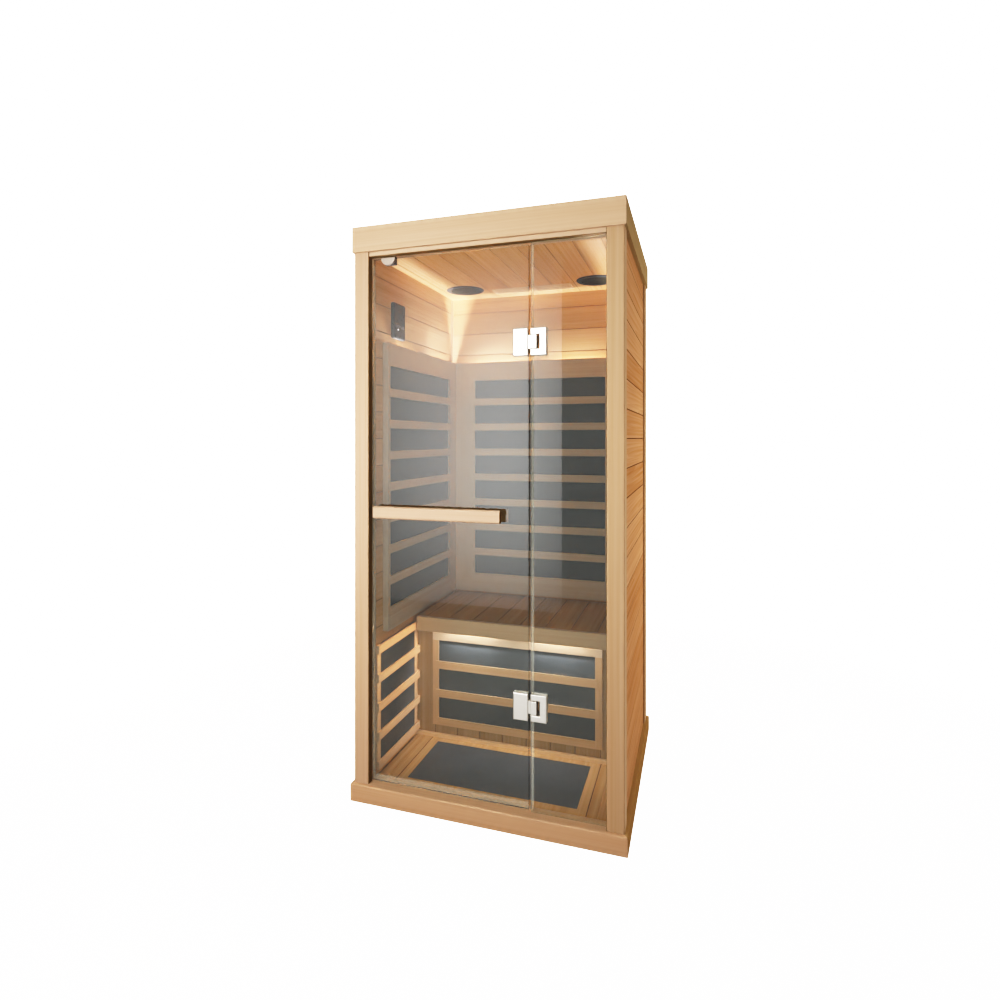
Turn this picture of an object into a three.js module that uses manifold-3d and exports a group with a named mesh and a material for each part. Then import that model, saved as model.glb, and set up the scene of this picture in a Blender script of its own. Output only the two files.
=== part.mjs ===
// Infrared sauna cabin for one person, with a hinged glass door and a fixed glass pane.
// Millimetres. X runs to the right of someone who faces the door, Y to the back, Z up.
// The origin is on the ground, under the middle of the base.
import * as THREE from 'three';
import { mergeVertices } from 'three/addons/utils/BufferGeometryUtils.js';
import Module from 'manifold-3d';

const wasm = await Module();
wasm.setup();

// Cabin body
const CABIN_HEIGHT = 2030;
const BODY_WIDTH = 942;
const BODY_DEPTH = 888;
const POST_WIDTH = 57;
const FRONT_POST_DEPTH = 60;
const BACK_POST_DEPTH = 84;
const POST_CHAMFER = 3;

// Clearances
const FIT = 0.5;
const SLIDE_FIT = 0.3;
const MITRE_GAP = 0.2;

// Facets of round shapes
const ROUND_FACETS = 32;
const SPEAKER_FACETS = 48;
const CORNER_FACETS = 4;
const CLIP_FACETS = 24;
const END_FACETS = 2;

// Tongue and groove boards and wall panels
const BOARD_THICKNESS = 12;
const BOARD_RECESS = 8;
const BOARD_PITCH = 98;
const TOP_BOARD_HEIGHT = 70;
const GROOVE_WIDTH = 4;
const GROOVE_DEPTH = 2.5;
const CORE_THICKNESS = 22;
const STUD_WIDTH = 45;
const WALL_BAYS = 3;

// Base and floor
const BASE_HEIGHT = 63;
const BASE_OVERHANG = 10.5;
const BASE_BOARD_WIDTH = 70;
const BASE_EDGE_RADIUS = 6;
const FLOOR_DECK = 22;
const FLOOR_JOIST = 40;
const FLOOR_BAYS = 3;
const FLOOR_EDGE_BOARD = 35;
const FLOOR_EDGE_BOARDS = 2;
const FLOOR_HEATER_WIDTH = 612;
const FLOOR_HEATER_FRONT_GAP = 34;
const FLOOR_HEATER_BACK_GAP = 30;
const FLOOR_HEATER_THICKNESS = 4;

// Crown, roof and ceiling
const CROWN_HEIGHT = 90;
const CROWN_THICKNESS = 20;
const CROWN_OVERHANG = 6;
const CROWN_EDGE_RADIUS = 2;
const HEAD_RAIL_HEIGHT = 17;
const HEAD_RAIL_SETBACK = 4;
const ROOF_THICKNESS = 32;
const CEILING_THICKNESS = 15;
const CEILING_DROP = 3;
const CEILING_BOARD_PITCH = 96;
const CEILING_BACK_STRIP = 185;

// Ceiling speakers
const SPEAKER_RADIUS = 82;
const SPEAKER_BODY_RADIUS = 64;
const SPEAKER_BODY_HEIGHT = 56;
const SPEAKER_FLANGE = 5;
const SPEAKER_RIM = 11;
const SPEAKER_DISH = 2;
const SPEAKER_FROM_WALL = 129;

// Air vents in the ceiling, behind the boards
const VENTS = 4;
const VENT_LENGTH = 66;
const VENT_WIDTH = 14;
const VENT_PITCH = 90;
const VENT_FROM_BOARDS = 62;

// Power unit on the roof
const POWER_WIDTH = 320;
const POWER_DEPTH = 220;
const POWER_HEIGHT = 46;
const POWER_CHAMFER = 6;
const INLET_WIDTH = 30;
const INLET_HEIGHT = 22;
const INLET_DEPTH = 18;

// Wall heaters: a face frame with slats in front of a carbon panel
const HEATER_FRAME_THICKNESS = 10;
const HEATER_SLAT_THICKNESS = 10;
const SLAT_PROUD = 1.5;
const HEATER_RETURN = 15;
const HEATER_PANEL_THICKNESS = 6;
const PANEL_LAP = 10;
const HEATER_HEADROOM = 285;
const ROW_HEIGHT = 84;
const SLAT_HEIGHT = 32;
const SLAT_LAP = 12;
const HEATER_RAIL = 84;
const HEATER_ABOVE_SEAT = 12;
const BACK_HEATER_STILE = 116;
const LEFT_HEATER_INSET = 56;
const RIGHT_HEATER_INSET = 170;
const SIDE_HEATER_FRONT_STILE = 18;
const SIDE_HEATER_BACK_STILE = 78;

// Calf heaters on the side walls: slats on two battens
const CALF_SLATS = 5;
const CALF_SLAT_HEIGHT = 30;
const CALF_ABOVE_FLOOR = 22;
const CALF_BELOW_SEAT = 3;
const CALF_BATTEN_THICKNESS = 6;
const CALF_SLAT_THICKNESS = 7;
const CALF_BATTEN_WIDTH = 26;
const LEFT_CALF_INSET = 4;
const RIGHT_CALF_INSET = 84;
const CALF_SLAT_OVERRUN = 12;
const CALF_PANEL_THICKNESS = 5;

// Bench
const SEAT_TOP = 560;
const SEAT_THICKNESS = 24;
const SEAT_SIDE_GAP = 17;
const SEAT_BOARD_PITCH = 98.5;
const SEAT_FIRST_GROOVE = 33;
const APRON_THICKNESS = 16;
const APRON_HEIGHT = 59;
const APRON_EDGE_RADIUS = 3;
const SKIRT_TO_BACK = 410;
const SKIRT_THICKNESS = 12;
const SKIRT_BOARD_PITCH = 96;
const SKIRTING = 14;
const BENCH_OVERHANG = 48;
const CLEAT_HEIGHT = 30;
const CLEAT_THICKNESS = 28;
const BENCH_GRILLE_SIDE_GAP = 72.5;
const BENCH_GRILLE_RISE = 49;
const BENCH_HEADROOM = 40;
const BENCH_RAIL = 30;
const BENCH_STILE = 27;
const BENCH_STANDOFF = 4.5;
const BENCH_FRAME_THICKNESS = 4.5;
const BENCH_SLAT_THICKNESS = 5;
const BENCH_RETURN = 10;
const BENCH_PANEL_THICKNESS = 4;

// Lamp rails behind the heater tops and under the seat
const LAMP_RAIL_HEIGHT = 14;
const LAMP_RAIL_DEPTH = 12;
const LAMP_RAIL_GAP = 1;
const LAMP_BELOW_TOP = 36;
const LAMP_SPACING = 360;
const LAMP_LENGTH = 60;
const LAMP_LENS = 3;
const LAMP_RAIL_INSET = 75;

// Control panel on the left wall
const CONTROL_WIDTH = 99;
const CONTROL_HEIGHT = 136;
const CONTROL_THICKNESS = 12;
const CONTROL_RADIUS = 6;
const CONTROL_BEVEL = 1;
const CONTROL_INSET = 122;
const CONTROL_ABOVE_HEATER = 28;

// Glass front
const GLASS_THICKNESS = 8;
const REVEAL = 26;
const DOOR_WIDTH = 571.5;
const DOOR_SIDE_GAP = 2.5;
const DOOR_TOP_GAP = 6;
const DOOR_BOTTOM_GAP = 7;
const GLASS_GAP = 8;
const GLASS_SEAT = 8;

// Glass to glass hinges
const UPPER_HINGE_BELOW_TOP = 319;
const LOWER_HINGE_ABOVE_BOTTOM = 335;
const HINGE_HEIGHT = 90;
const DOOR_LEAF_WIDTH = 50;
const FIXED_LEAF_WIDTH = 54;
const LEAF_OVERHANG = 1;
const PLATE_THICKNESS = 9;
const PLATE_BEVEL = 2.5;
const AXIS_FROM_PANE = 7;
const KNUCKLE_REACH = 13;
const KNUCKLE_ROOT = 9;
const KNUCKLE_HEIGHT = 43;
const KNUCKLE_GAP = 1.5;
const KNUCKLE_CHAMFER = 1.5;
const KNUCKLE_NECK = 5;
const WINDOW_PAST_AXIS = 22;
const HINGE_CORE_MARGIN = 5;
const HINGE_CORE_DEPTH = 9;
const PIN_RADIUS = 4;
const PIN_MARGIN = 8;

// Door handle: one bar on each side of the glass
const HANDLE_INSET = 18;
const HANDLE_FROM_HINGES = 88;
const HANDLE_HEIGHT = 44;
const HANDLE_DEPTH = 18;
const HANDLE_STANDOFF = 18;
const HANDLE_ABOVE_BOTTOM = 954;
const HANDLE_RADIUS = 7;
const HANDLE_END_BEVEL = 3;
const INNER_BAR_LONGER = 9;
const BOSS_RADIUS = 9;
const BOSS_INSET = 60;
const STUD_RADIUS = 4;
const STUD_IN_GRIP = 10;
const GLASS_HOLE_GAP = 2;

// Door catch: a half-round clip on the glass and a magnet under the head rail
const CLIP_RADIUS = 28;
const CLIP_INSET = 62;
const CLIP_PLATE = 4.5;
const CLIP_CAP = 3.5;
const CLIP_BEVEL = 1;
const MAGNET_WIDTH = 40;
const MAGNET_HEIGHT = 24;
const MAGNET_DEPTH = 20;
const MAGNET_GAP = 0.8;

// Seal on the latch edge and the bottom edge of the door
const SEAL_LIP = 1.5;
const SEAL_RUNNING_GAP = 0.8;
const SEAL_SIDE_WIDTH = 12;
const SEAL_BOTTOM_HEIGHT = 23;
const SEAL_TOP_CLEARANCE = 20;

// Places that follow from the sizes above
const halfWidth = BODY_WIDTH / 2;
const halfDepth = BODY_DEPTH / 2;
const wallTop = CABIN_HEIGHT - CROWN_HEIGHT;
const wallThickness = 2 * BOARD_THICKNESS + CORE_THICKNESS;
const boardFaceX = halfWidth - BOARD_RECESS;
const innerX = boardFaceX - wallThickness;
const boardFaceY = halfDepth - BOARD_RECESS;
const innerBackY = boardFaceY - wallThickness;
const openingX = halfWidth - POST_WIDTH;
const wallFrontY = FRONT_POST_DEPTH - halfDepth;
const wallBackY = halfDepth - BACK_POST_DEPTH;
const baseX = halfWidth + BASE_OVERHANG;
const baseY = halfDepth + BASE_OVERHANG;
const floorTop = BASE_HEIGHT;
const headBottom = wallTop - HEAD_RAIL_HEIGHT;
const ceilingZ = wallTop - CEILING_DROP;
const roofTop = wallTop + ROOF_THICKNESS;
const skirtY = innerBackY - SKIRT_TO_BACK;
const seatFrontY = skirtY - BENCH_OVERHANG;
const seatBottom = SEAT_TOP - SEAT_THICKNESS;
const rowPitch = ROW_HEIGHT + SLAT_HEIGHT;
const rowsThatFit = (height, rail) => Math.floor((height - 2 * rail + SLAT_HEIGHT) / rowPitch);
const heaterBottom = SEAT_TOP + HEATER_ABOVE_SEAT;
const heaterRows = rowsThatFit(ceilingZ - HEATER_HEADROOM - heaterBottom, HEATER_RAIL);
const heaterTop = heaterBottom + 2 * HEATER_RAIL + heaterRows * rowPitch - SLAT_HEIGHT;
const glassFrontY = REVEAL - halfDepth;
const glassBackY = glassFrontY + GLASS_THICKNESS;
const doorLeftX = DOOR_SIDE_GAP - openingX;
const doorRightX = doorLeftX + DOOR_WIDTH;
const doorBottom = BASE_HEIGHT + DOOR_BOTTOM_GAP;
const doorTop = headBottom - DOOR_TOP_GAP;
const fixedLeftX = doorRightX + GLASS_GAP;
const axisX = fixedLeftX + AXIS_FROM_PANE;
const axisY = (glassFrontY + glassBackY) / 2;

// Finishes
const finish = (color, roughness, metalness) => ({ color, roughness, metalness });
const PALE_WOOD = finish('#dfc29a', 0.55, 0);
const WARM_WOOD = finish('#d6ae7c', 0.55, 0);
const CARBON = finish('#4f4f4f', 0.4, 0);
const NICKEL = finish('#cbc7be', 0.3, 1);
const CLEAR_GLASS = finish('#dfe9e4', 0.03, 0);
const SOFT_SEAL = finish('#cfc6b4', 0.4, 0);
const DARK_PLASTIC = finish('#3b3c3e', 0.45, 0);
const LAMP_PLASTIC = finish('#f4ead6', 0.3, 0);
const POWDER_STEEL = finish('#b9bcbd', 0.5, 0.6);

const cabin = new THREE.Group();

// Puts one solid into the cabin as a named mesh with its own material.
function part(name, body, look) {
  const { vertProperties, triVerts } = body.getMesh();
  const geometry = new THREE.BufferGeometry();
  geometry.setAttribute('position', new THREE.BufferAttribute(vertProperties, 3));
  geometry.setIndex(new THREE.BufferAttribute(triVerts, 1));
  geometry.computeVertexNormals();
  const mesh = new THREE.Mesh(geometry, new THREE.MeshStandardMaterial(look));
  mesh.name = name;
  cabin.add(mesh);
}

// Turns a closed three.js geometry into a solid that can be joined and cut.
function solid(geometry) {
  geometry.deleteAttribute('normal');
  geometry.deleteAttribute('uv');
  const merged = mergeVertices(geometry, 1e-4);
  const vertProperties = new Float32Array(merged.attributes.position.array);
  const triVerts = new Uint32Array(merged.index.array);
  return new wasm.Manifold(new wasm.Mesh({ numProp: 3, vertProperties, triVerts }));
}

// A box between two values on each axis, given in either order.
function block(xs, ys, zs) {
  const low = new THREE.Vector3(Math.min(...xs), Math.min(...ys), Math.min(...zs));
  const high = new THREE.Vector3(Math.max(...xs), Math.max(...ys), Math.max(...zs));
  const size = high.clone().sub(low);
  const geometry = new THREE.BoxGeometry(size.x, size.y, size.z);
  geometry.translate(low.x + size.x / 2, low.y + size.y / 2, low.z + size.z / 2);
  return solid(geometry);
}

// Turns from an extrusion along Z to one along X or Y.
const ALONG = {
  x: new THREE.Matrix4().set(0, 0, 1, 0, 1, 0, 0, 0, 0, 1, 0, 0, 0, 0, 0, 1),
  y: new THREE.Matrix4().set(0, 1, 0, 0, 0, 0, 1, 0, 1, 0, 0, 0, 0, 0, 0, 1),
  z: new THREE.Matrix4(),
};

const swapped = (points) => points.map(([u, v]) => [v, u]);

// An outline pushed along an axis: (y, z) points along x, (x, z) along y and (x, y) along z.
function prism(points, axis, from, to, bevel = 0, bevelSegments = 1) {
  const turned = axis === 'y' ? swapped(points) : points;
  const outline = turned.map(([u, v]) => new THREE.Vector2(u, v));
  const geometry = new THREE.ExtrudeGeometry(new THREE.Shape(outline), {
    depth: to - from - 2 * bevel,
    bevelEnabled: bevel > 0,
    bevelThickness: bevel,
    bevelSize: bevel,
    bevelOffset: -bevel,
    bevelSegments,
  });
  geometry.translate(0, 0, from + bevel);
  geometry.applyMatrix4(ALONG[axis]);
  return solid(geometry);
}

// A round bar along Y or Z through a centre point, given on the other two axes.
function bar(axis, radius, centre, from, to, facets = ROUND_FACETS) {
  const geometry = new THREE.CylinderGeometry(radius, radius, to - from, facets);
  const middle = (from + to) / 2;
  if (axis === 'z') {
    geometry.rotateX(Math.PI / 2);
    geometry.translate(centre[0], centre[1], middle);
  } else {
    geometry.translate(centre[0], middle, centre[1]);
  }
  return solid(geometry);
}

const rectangle = (u, v) => [[u[0], v[0]], [u[1], v[0]], [u[1], v[1]], [u[0], v[1]]];

// A rectangle whose four corners are arcs; one facet per corner makes chamfers.
function roundedRectangle(u, v, radius, facets = CORNER_FACETS) {
  const [u0, u1] = [Math.min(...u) + radius, Math.max(...u) - radius];
  const [v0, v1] = [Math.min(...v) + radius, Math.max(...v) - radius];
  const centres = [[u1, v1], [u0, v1], [u0, v0], [u1, v0]];
  return centres.flatMap(([cu, cv], corner) =>
    Array.from({ length: facets + 1 }, (_, step) => {
      const angle = (corner + step / facets) * (Math.PI / 2);
      return [cu + radius * Math.cos(angle), cv + radius * Math.sin(angle)];
    }));
}

// A board section with V grooves in its face, which is at one thickness value; the back is at the other.
function groovedSection(face, back, low, high, grooves) {
  const bottom = face + Math.sign(back - face) * GROOVE_DEPTH;
  const half = GROOVE_WIDTH / 2;
  const notches = grooves.flatMap((at) => [[face, at - half], [bottom, at], [face, at + half]]);
  return [[back, low], [face, low], ...notches, [face, high], [back, high]];
}

// Evenly pitched positions between two ends, counted from one of them, clear of both ends.
function pitched(first, pitch, low, high) {
  const margin = 2 * GROOVE_WIDTH;
  const start = Math.ceil((low + margin - first) / pitch);
  const end = Math.floor((high - margin - first) / pitch);
  return Array.from({ length: Math.max(0, end - start + 1) }, (_, k) => first + (start + k) * pitch);
}

// Four mitred boards around a rectangle, with a rounded outer top edge.
function mitredFrame(x, y, thickness, low, high, radius) {
  const section = (outer, inner) => {
    const turn = Math.sign(outer - inner);
    const arc = Array.from({ length: CORNER_FACETS + 1 }, (_, step) => {
      const angle = (step / CORNER_FACETS) * (Math.PI / 2);
      return [outer + turn * radius * (Math.cos(angle) - 1), high + radius * (Math.sin(angle) - 1)];
    });
    return [[inner, low], [outer, low], ...arc, [inner, high]];
  };
  const across = (side) => {
    const [outer, inner] = [side * y, side * (y - thickness)];
    const plan = [
      [MITRE_GAP - x, outer],
      [x - MITRE_GAP, outer],
      [x - MITRE_GAP - thickness, inner],
      [MITRE_GAP + thickness - x, inner],
    ];
    return prism(section(outer, inner), 'x', -x, x).intersect(prism(plan, 'z', low, high));
  };
  const along = (side) => {
    const [outer, inner] = [side * x, side * (x - thickness)];
    const plan = [
      [outer, MITRE_GAP - y],
      [outer, y - MITRE_GAP],
      [inner, y - MITRE_GAP - thickness],
      [inner, MITRE_GAP + thickness - y],
    ];
    return prism(section(outer, inner), 'y', -y, y).intersect(prism(plan, 'z', low, high));
  };
  return { front: across(-1), back: across(1), left: along(-1), right: along(1) };
}

const SIDES = [['left', -1], ['right', 1]];

// Channel that the edges of the fixed pane stand in
const paneRightX = openingX + GLASS_SEAT;
const paneTop = headBottom + GLASS_SEAT;
const paneBottom = BASE_HEIGHT - GLASS_SEAT;
const paneChannel = block(
  [fixedLeftX - SLIDE_FIT, paneRightX + SLIDE_FIT],
  [glassFrontY - SLIDE_FIT, glassBackY + SLIDE_FIT],
  [paneBottom - SLIDE_FIT, paneTop + SLIDE_FIT],
);

// Base boards
const base = mitredFrame(baseX, baseY, BASE_BOARD_WIDTH, 0, BASE_HEIGHT, BASE_EDGE_RADIUS);
part('base_front', base.front.subtract(paneChannel), WARM_WOOD);
part('base_back', base.back, WARM_WOOD);
part('base_left', base.left, WARM_WOOD);
part('base_right', base.right, WARM_WOOD);

// Crown boards around the roof
const crown = mitredFrame(
  halfWidth + CROWN_OVERHANG,
  halfDepth + CROWN_OVERHANG,
  CROWN_THICKNESS,
  wallTop,
  CABIN_HEIGHT,
  CROWN_EDGE_RADIUS,
);
for (const [place, board] of Object.entries(crown)) {
  part(`crown_${place}`, board, PALE_WOOD);
}

// Corner posts
for (const [place, side] of SIDES) {
  const postX = [side * openingX, side * halfWidth];
  const front = roundedRectangle(postX, [-halfDepth, wallFrontY], POST_CHAMFER, 1);
  const frontPost = prism(front, 'z', BASE_HEIGHT, wallTop);
  part(`post_front_${place}`, side > 0 ? frontPost.subtract(paneChannel) : frontPost, PALE_WOOD);
  const back = roundedRectangle([side * innerX, side * halfWidth], [wallBackY, halfDepth], POST_CHAMFER, 1);
  part(`post_back_${place}`, prism(back, 'z', BASE_HEIGHT, wallTop), PALE_WOOD);
}

// Bays between the studs of a wall panel, as height ranges
const bayHeight = (wallTop - BASE_HEIGHT - STUD_WIDTH) / WALL_BAYS;
const bays = Array.from({ length: WALL_BAYS }, (_, bay) => [
  BASE_HEIGHT + STUD_WIDTH + bay * bayHeight,
  BASE_HEIGHT + (bay + 1) * bayHeight,
]);
const wallGrooves = pitched(wallTop - TOP_BOARD_HEIGHT, BOARD_PITCH, BASE_HEIGHT, wallTop);

// Side walls: outer boards on studs, and an inner lining
const sideStuds = [wallFrontY + STUD_WIDTH, wallBackY - STUD_WIDTH];
for (const [place, side] of SIDES) {
  const liningBack = side * (innerX + BOARD_THICKNESS);
  const outer = groovedSection(side * boardFaceX, liningBack, BASE_HEIGHT, wallTop, wallGrooves);
  const cavity = [liningBack, side * (boardFaceX - BOARD_THICKNESS)];
  const panel = bays.reduce(
    (body, bay) => body.subtract(block(cavity, sideStuds, bay)),
    prism(outer, 'y', wallFrontY, wallBackY),
  );
  part(`${place}_wall_outer`, panel, WARM_WOOD);
  const inner = groovedSection(side * innerX, liningBack, BASE_HEIGHT, wallTop, wallGrooves);
  part(`${place}_wall_inner`, prism(inner, 'y', wallFrontY, wallBackY), WARM_WOOD);
}

// Back wall
const backLining = innerBackY + BOARD_THICKNESS;
const backStuds = [STUD_WIDTH - innerX, innerX - STUD_WIDTH];
const backOuter = groovedSection(boardFaceY, backLining, BASE_HEIGHT, wallTop, wallGrooves);
const backPanel = bays.reduce(
  (body, bay) => body.subtract(block(backStuds, [backLining, boardFaceY - BOARD_THICKNESS], bay)),
  prism(backOuter, 'x', -innerX, innerX),
);
part('back_wall_outer', backPanel, WARM_WOOD);
const backInner = groovedSection(innerBackY, backLining, BASE_HEIGHT, wallTop, wallGrooves);
part('back_wall_inner', prism(backInner, 'x', -innerX, innerX), WARM_WOOD);

// Head rail over the door
const headRail = block(
  [-openingX, openingX],
  [HEAD_RAIL_SETBACK - halfDepth, wallFrontY],
  [headBottom, wallTop],
);
part('head_rail', headRail.subtract(paneChannel), PALE_WOOD);

// Floor: a grooved deck on joists, with a shallow bed for the floor heater
const floorX = baseX - BASE_BOARD_WIDTH - FIT;
const floorY = baseY - BASE_BOARD_WIDTH - FIT;
const heaterX = FLOOR_HEATER_WIDTH / 2;
const floorHeaterY = [FLOOR_HEATER_FRONT_GAP - floorY, skirtY - SKIRTING - FLOOR_HEATER_BACK_GAP];
const floorHeaterZ = [floorTop - FLOOR_HEATER_THICKNESS, floorTop];
const edgeJoints = Array.from({ length: FLOOR_EDGE_BOARDS }, (_, k) => (k + 1) * FLOOR_EDGE_BOARD - floorX);
const floorGrooves = [...edgeJoints, ...edgeJoints.map((x) => -x).reverse()];
const deckSection = swapped(groovedSection(floorTop, 0, -floorX, floorX, floorGrooves));
const floorBay = (2 * floorY - FLOOR_JOIST) / FLOOR_BAYS;
let floor = prism(deckSection, 'y', -floorY, floorY);
for (let bay = 0; bay < FLOOR_BAYS; bay += 1) {
  const from = -floorY + bay * floorBay;
  const bayX = [FLOOR_JOIST - floorX, floorX - FLOOR_JOIST];
  const bayY = [from + FLOOR_JOIST, from + floorBay];
  floor = floor.subtract(block(bayX, bayY, [0, floorTop - FLOOR_DECK]));
}
const heaterBed = block(
  [-heaterX - FIT, heaterX + FIT],
  [floorHeaterY[0] - FIT, floorHeaterY[1] + FIT],
  floorHeaterZ,
);
part('floor_boards', floor.subtract(heaterBed), WARM_WOOD);
part('floor_heater', block([-heaterX, heaterX], floorHeaterY, floorHeaterZ), CARBON);

// Ceiling: boards from the front to a plain strip at the back, in a bed under the roof
const ceilingX = innerX - FIT;
const ceilingY = [wallFrontY + FIT, innerBackY - FIT];
const stripY = innerBackY - CEILING_BACK_STRIP;
const ceilingTop = ceilingZ + CEILING_THICKNESS;
const ceilingGrooves = pitched(0, CEILING_BOARD_PITCH, -ceilingX, ceilingX);
const ceilingSection = swapped(groovedSection(ceilingZ, ceilingTop, -ceilingX, ceilingX, ceilingGrooves));
const stripSection = groovedSection(ceilingZ, ceilingTop, stripY - FIT, ceilingY[1], [stripY + GROOVE_WIDTH]);
const ceiling = prism(ceilingSection, 'y', ceilingY[0], stripY).add(
  prism(swapped(stripSection), 'x', -ceilingX, ceilingX),
);

// Speakers drop in from below, each on its flange
const speakers = SIDES.map(([place, side]) => [place, side * (innerX - SPEAKER_FROM_WALL)]);
const speakerTop = ceilingZ + SPEAKER_BODY_HEIGHT;
const speakerHole = (x) => bar(
  'z', SPEAKER_BODY_RADIUS + FIT, [x, stripY], ceilingZ, roofTop, SPEAKER_FACETS,
);
function speaker(x) {
  const face = ceilingZ - SPEAKER_FLANGE;
  const grille = SPEAKER_RADIUS - SPEAKER_RIM;
  const profile = [
    [0, face + SPEAKER_DISH],
    [grille, face + SPEAKER_DISH],
    [grille + SPEAKER_DISH, face],
    [SPEAKER_RADIUS - SPEAKER_FLANGE, face],
    [SPEAKER_RADIUS, ceilingZ - SPEAKER_DISH],
    [SPEAKER_RADIUS, ceilingZ],
    [SPEAKER_BODY_RADIUS, ceilingZ],
    [SPEAKER_BODY_RADIUS, speakerTop - SPEAKER_RIM],
    [SPEAKER_BODY_RADIUS - SPEAKER_RIM, speakerTop],
    [0, speakerTop],
  ];
  const outline = profile.map(([r, z]) => new THREE.Vector2(r, z));
  const geometry = new THREE.LatheGeometry(outline, SPEAKER_FACETS);
  geometry.rotateX(Math.PI / 2);
  geometry.translate(x, stripY, 0);
  return solid(geometry);
}

// Vents pass through the ceiling and the roof
const ventY = stripY + VENT_FROM_BOARDS;
const vents = Array.from({ length: VENTS }, (_, k) => {
  const x = (k - (VENTS - 1) / 2) * VENT_PITCH;
  const slotX = [x - VENT_LENGTH / 2, x + VENT_LENGTH / 2];
  const slotY = [ventY - VENT_WIDTH / 2, ventY + VENT_WIDTH / 2];
  return prism(roundedRectangle(slotX, slotY, VENT_WIDTH / 2), 'z', ceilingZ, roofTop);
});

// Roof panel with the ceiling's bed under it
const roofX = halfWidth + CROWN_OVERHANG - CROWN_THICKNESS - FIT;
const roofY = halfDepth + CROWN_OVERHANG - CROWN_THICKNESS - FIT;
const roofBed = block([-innerX, innerX], [wallFrontY, innerBackY], [wallTop, ceilingTop]);
const roofPanel = block([-roofX, roofX], [-roofY, roofY], [wallTop, roofTop]).subtract(roofBed);
const overheadHoles = [...vents, ...speakers.map(([, x]) => speakerHole(x))];
const withHoles = (panel) => overheadHoles.reduce((rest, hole) => rest.subtract(hole), panel);
part('ceiling_panel', withHoles(ceiling), WARM_WOOD);
part('roof_panel', withHoles(roofPanel), WARM_WOOD);
for (const [place, x] of speakers) {
  part(`speaker_${place}`, speaker(x), DARK_PLASTIC);
}

// Power unit on the roof, with a mains inlet in its back
const powerPlan = roundedRectangle(
  [-POWER_WIDTH / 2, POWER_WIDTH / 2], [-POWER_DEPTH / 2, POWER_DEPTH / 2], POWER_CHAMFER, 1,
);
const inlet = block(
  [-INLET_WIDTH / 2, INLET_WIDTH / 2],
  [POWER_DEPTH / 2 - INLET_DEPTH, POWER_DEPTH / 2],
  [roofTop + (POWER_HEIGHT - INLET_HEIGHT) / 2, roofTop + (POWER_HEIGHT + INLET_HEIGHT) / 2],
);
part('power_unit', prism(powerPlan, 'z', roofTop, roofTop + POWER_HEIGHT).subtract(inlet), POWDER_STEEL);

// Blocks that are given by their place along a face, their depth off it and their height
const onBackWall = (u, d, z) => block(u, [innerBackY - d[0], innerBackY - d[1]], z);
const onSideWall = (side) => (u, d, z) => block([side * (innerX - d[0]), side * (innerX - d[1])], u, z);
const onSkirt = (u, d, z) => block(u, [skirtY - d[0], skirtY - d[1]], z);

// A face frame with slats across it, and returns that hold it off the face behind
function heaterGrille(at, { span, field, bottom, rail, rows, frame, slat, edge }) {
  const firstRow = bottom + rail;
  const lastRow = firstRow + rows * rowPitch - SLAT_HEIGHT;
  const top = lastRow + rail;
  let body = at(span, frame, [bottom, top]).subtract(at(field, [0, slat[1]], [firstRow, lastRow]));
  body = body.add(at([span[0], span[0] + edge], [0, frame[1]], [bottom, top]));
  body = body.add(at([span[1] - edge, span[1]], [0, frame[1]], [bottom, top]));
  body = body.add(at(span, [0, frame[1]], [bottom, bottom + edge]));
  for (let row = 1; row < rows; row += 1) {
    const from = firstRow + row * rowPitch - SLAT_HEIGHT;
    body = body.add(at([field[0] - SLAT_LAP, field[1] + SLAT_LAP], slat, [from, from + SLAT_HEIGHT]));
  }
  return body;
}

// The carbon panel that lies against the back of such a frame
function heaterPanel(at, { span, bottom, rail, rows, frame, edge, panel }) {
  const lastRow = bottom + rail + rows * rowPitch - SLAT_HEIGHT;
  return at(
    [span[0] + edge + FIT, span[1] - edge - FIT],
    [frame[0] - panel, frame[0]],
    [bottom + edge + FIT, lastRow + PANEL_LAP],
  );
}

// A rail along a heater's span, with two lamp lenses on its upper or lower side
function lampRail(at, span, depth, zs, lit) {
  const middle = (span[0] + span[1]) / 2;
  let body = at([span[0] + LAMP_RAIL_INSET, span[1] - LAMP_RAIL_INSET], depth, zs);
  const lensDepth = [depth[0] + LAMP_LENS, depth[1] - LAMP_LENS];
  const lensZ = lit > 0 ? [zs[0], zs[1] + LAMP_LENS] : [zs[0] - LAMP_LENS, zs[1]];
  for (const way of [-1, 1]) {
    const lamp = middle + (way * LAMP_SPACING) / 2;
    body = body.add(at([lamp - LAMP_LENGTH / 2, lamp + LAMP_LENGTH / 2], lensDepth, lensZ));
  }
  return body;
}

// Depths off a face of a frame that stands off it, and of the slats let into that frame
function grilleDepths(standoff, frameThickness, slatThickness) {
  const frameFace = standoff + frameThickness;
  const slatFace = frameFace + SLAT_PROUD;
  return { frame: [standoff, frameFace], slat: [slatFace - slatThickness, slatFace] };
}

// The wall heaters stand off the wall far enough for the lamp rails behind them
const wallHeater = {
  ...grilleDepths(LAMP_RAIL_DEPTH + LAMP_RAIL_GAP, HEATER_FRAME_THICKNESS, HEATER_SLAT_THICKNESS),
  bottom: heaterBottom,
  rail: HEATER_RAIL,
  rows: heaterRows,
  edge: HEATER_RETURN,
  panel: HEATER_PANEL_THICKNESS,
};
const lampZ = [heaterTop - LAMP_BELOW_TOP - LAMP_RAIL_HEIGHT, heaterTop - LAMP_BELOW_TOP];
const lampDepth = [0, LAMP_RAIL_DEPTH];

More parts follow.
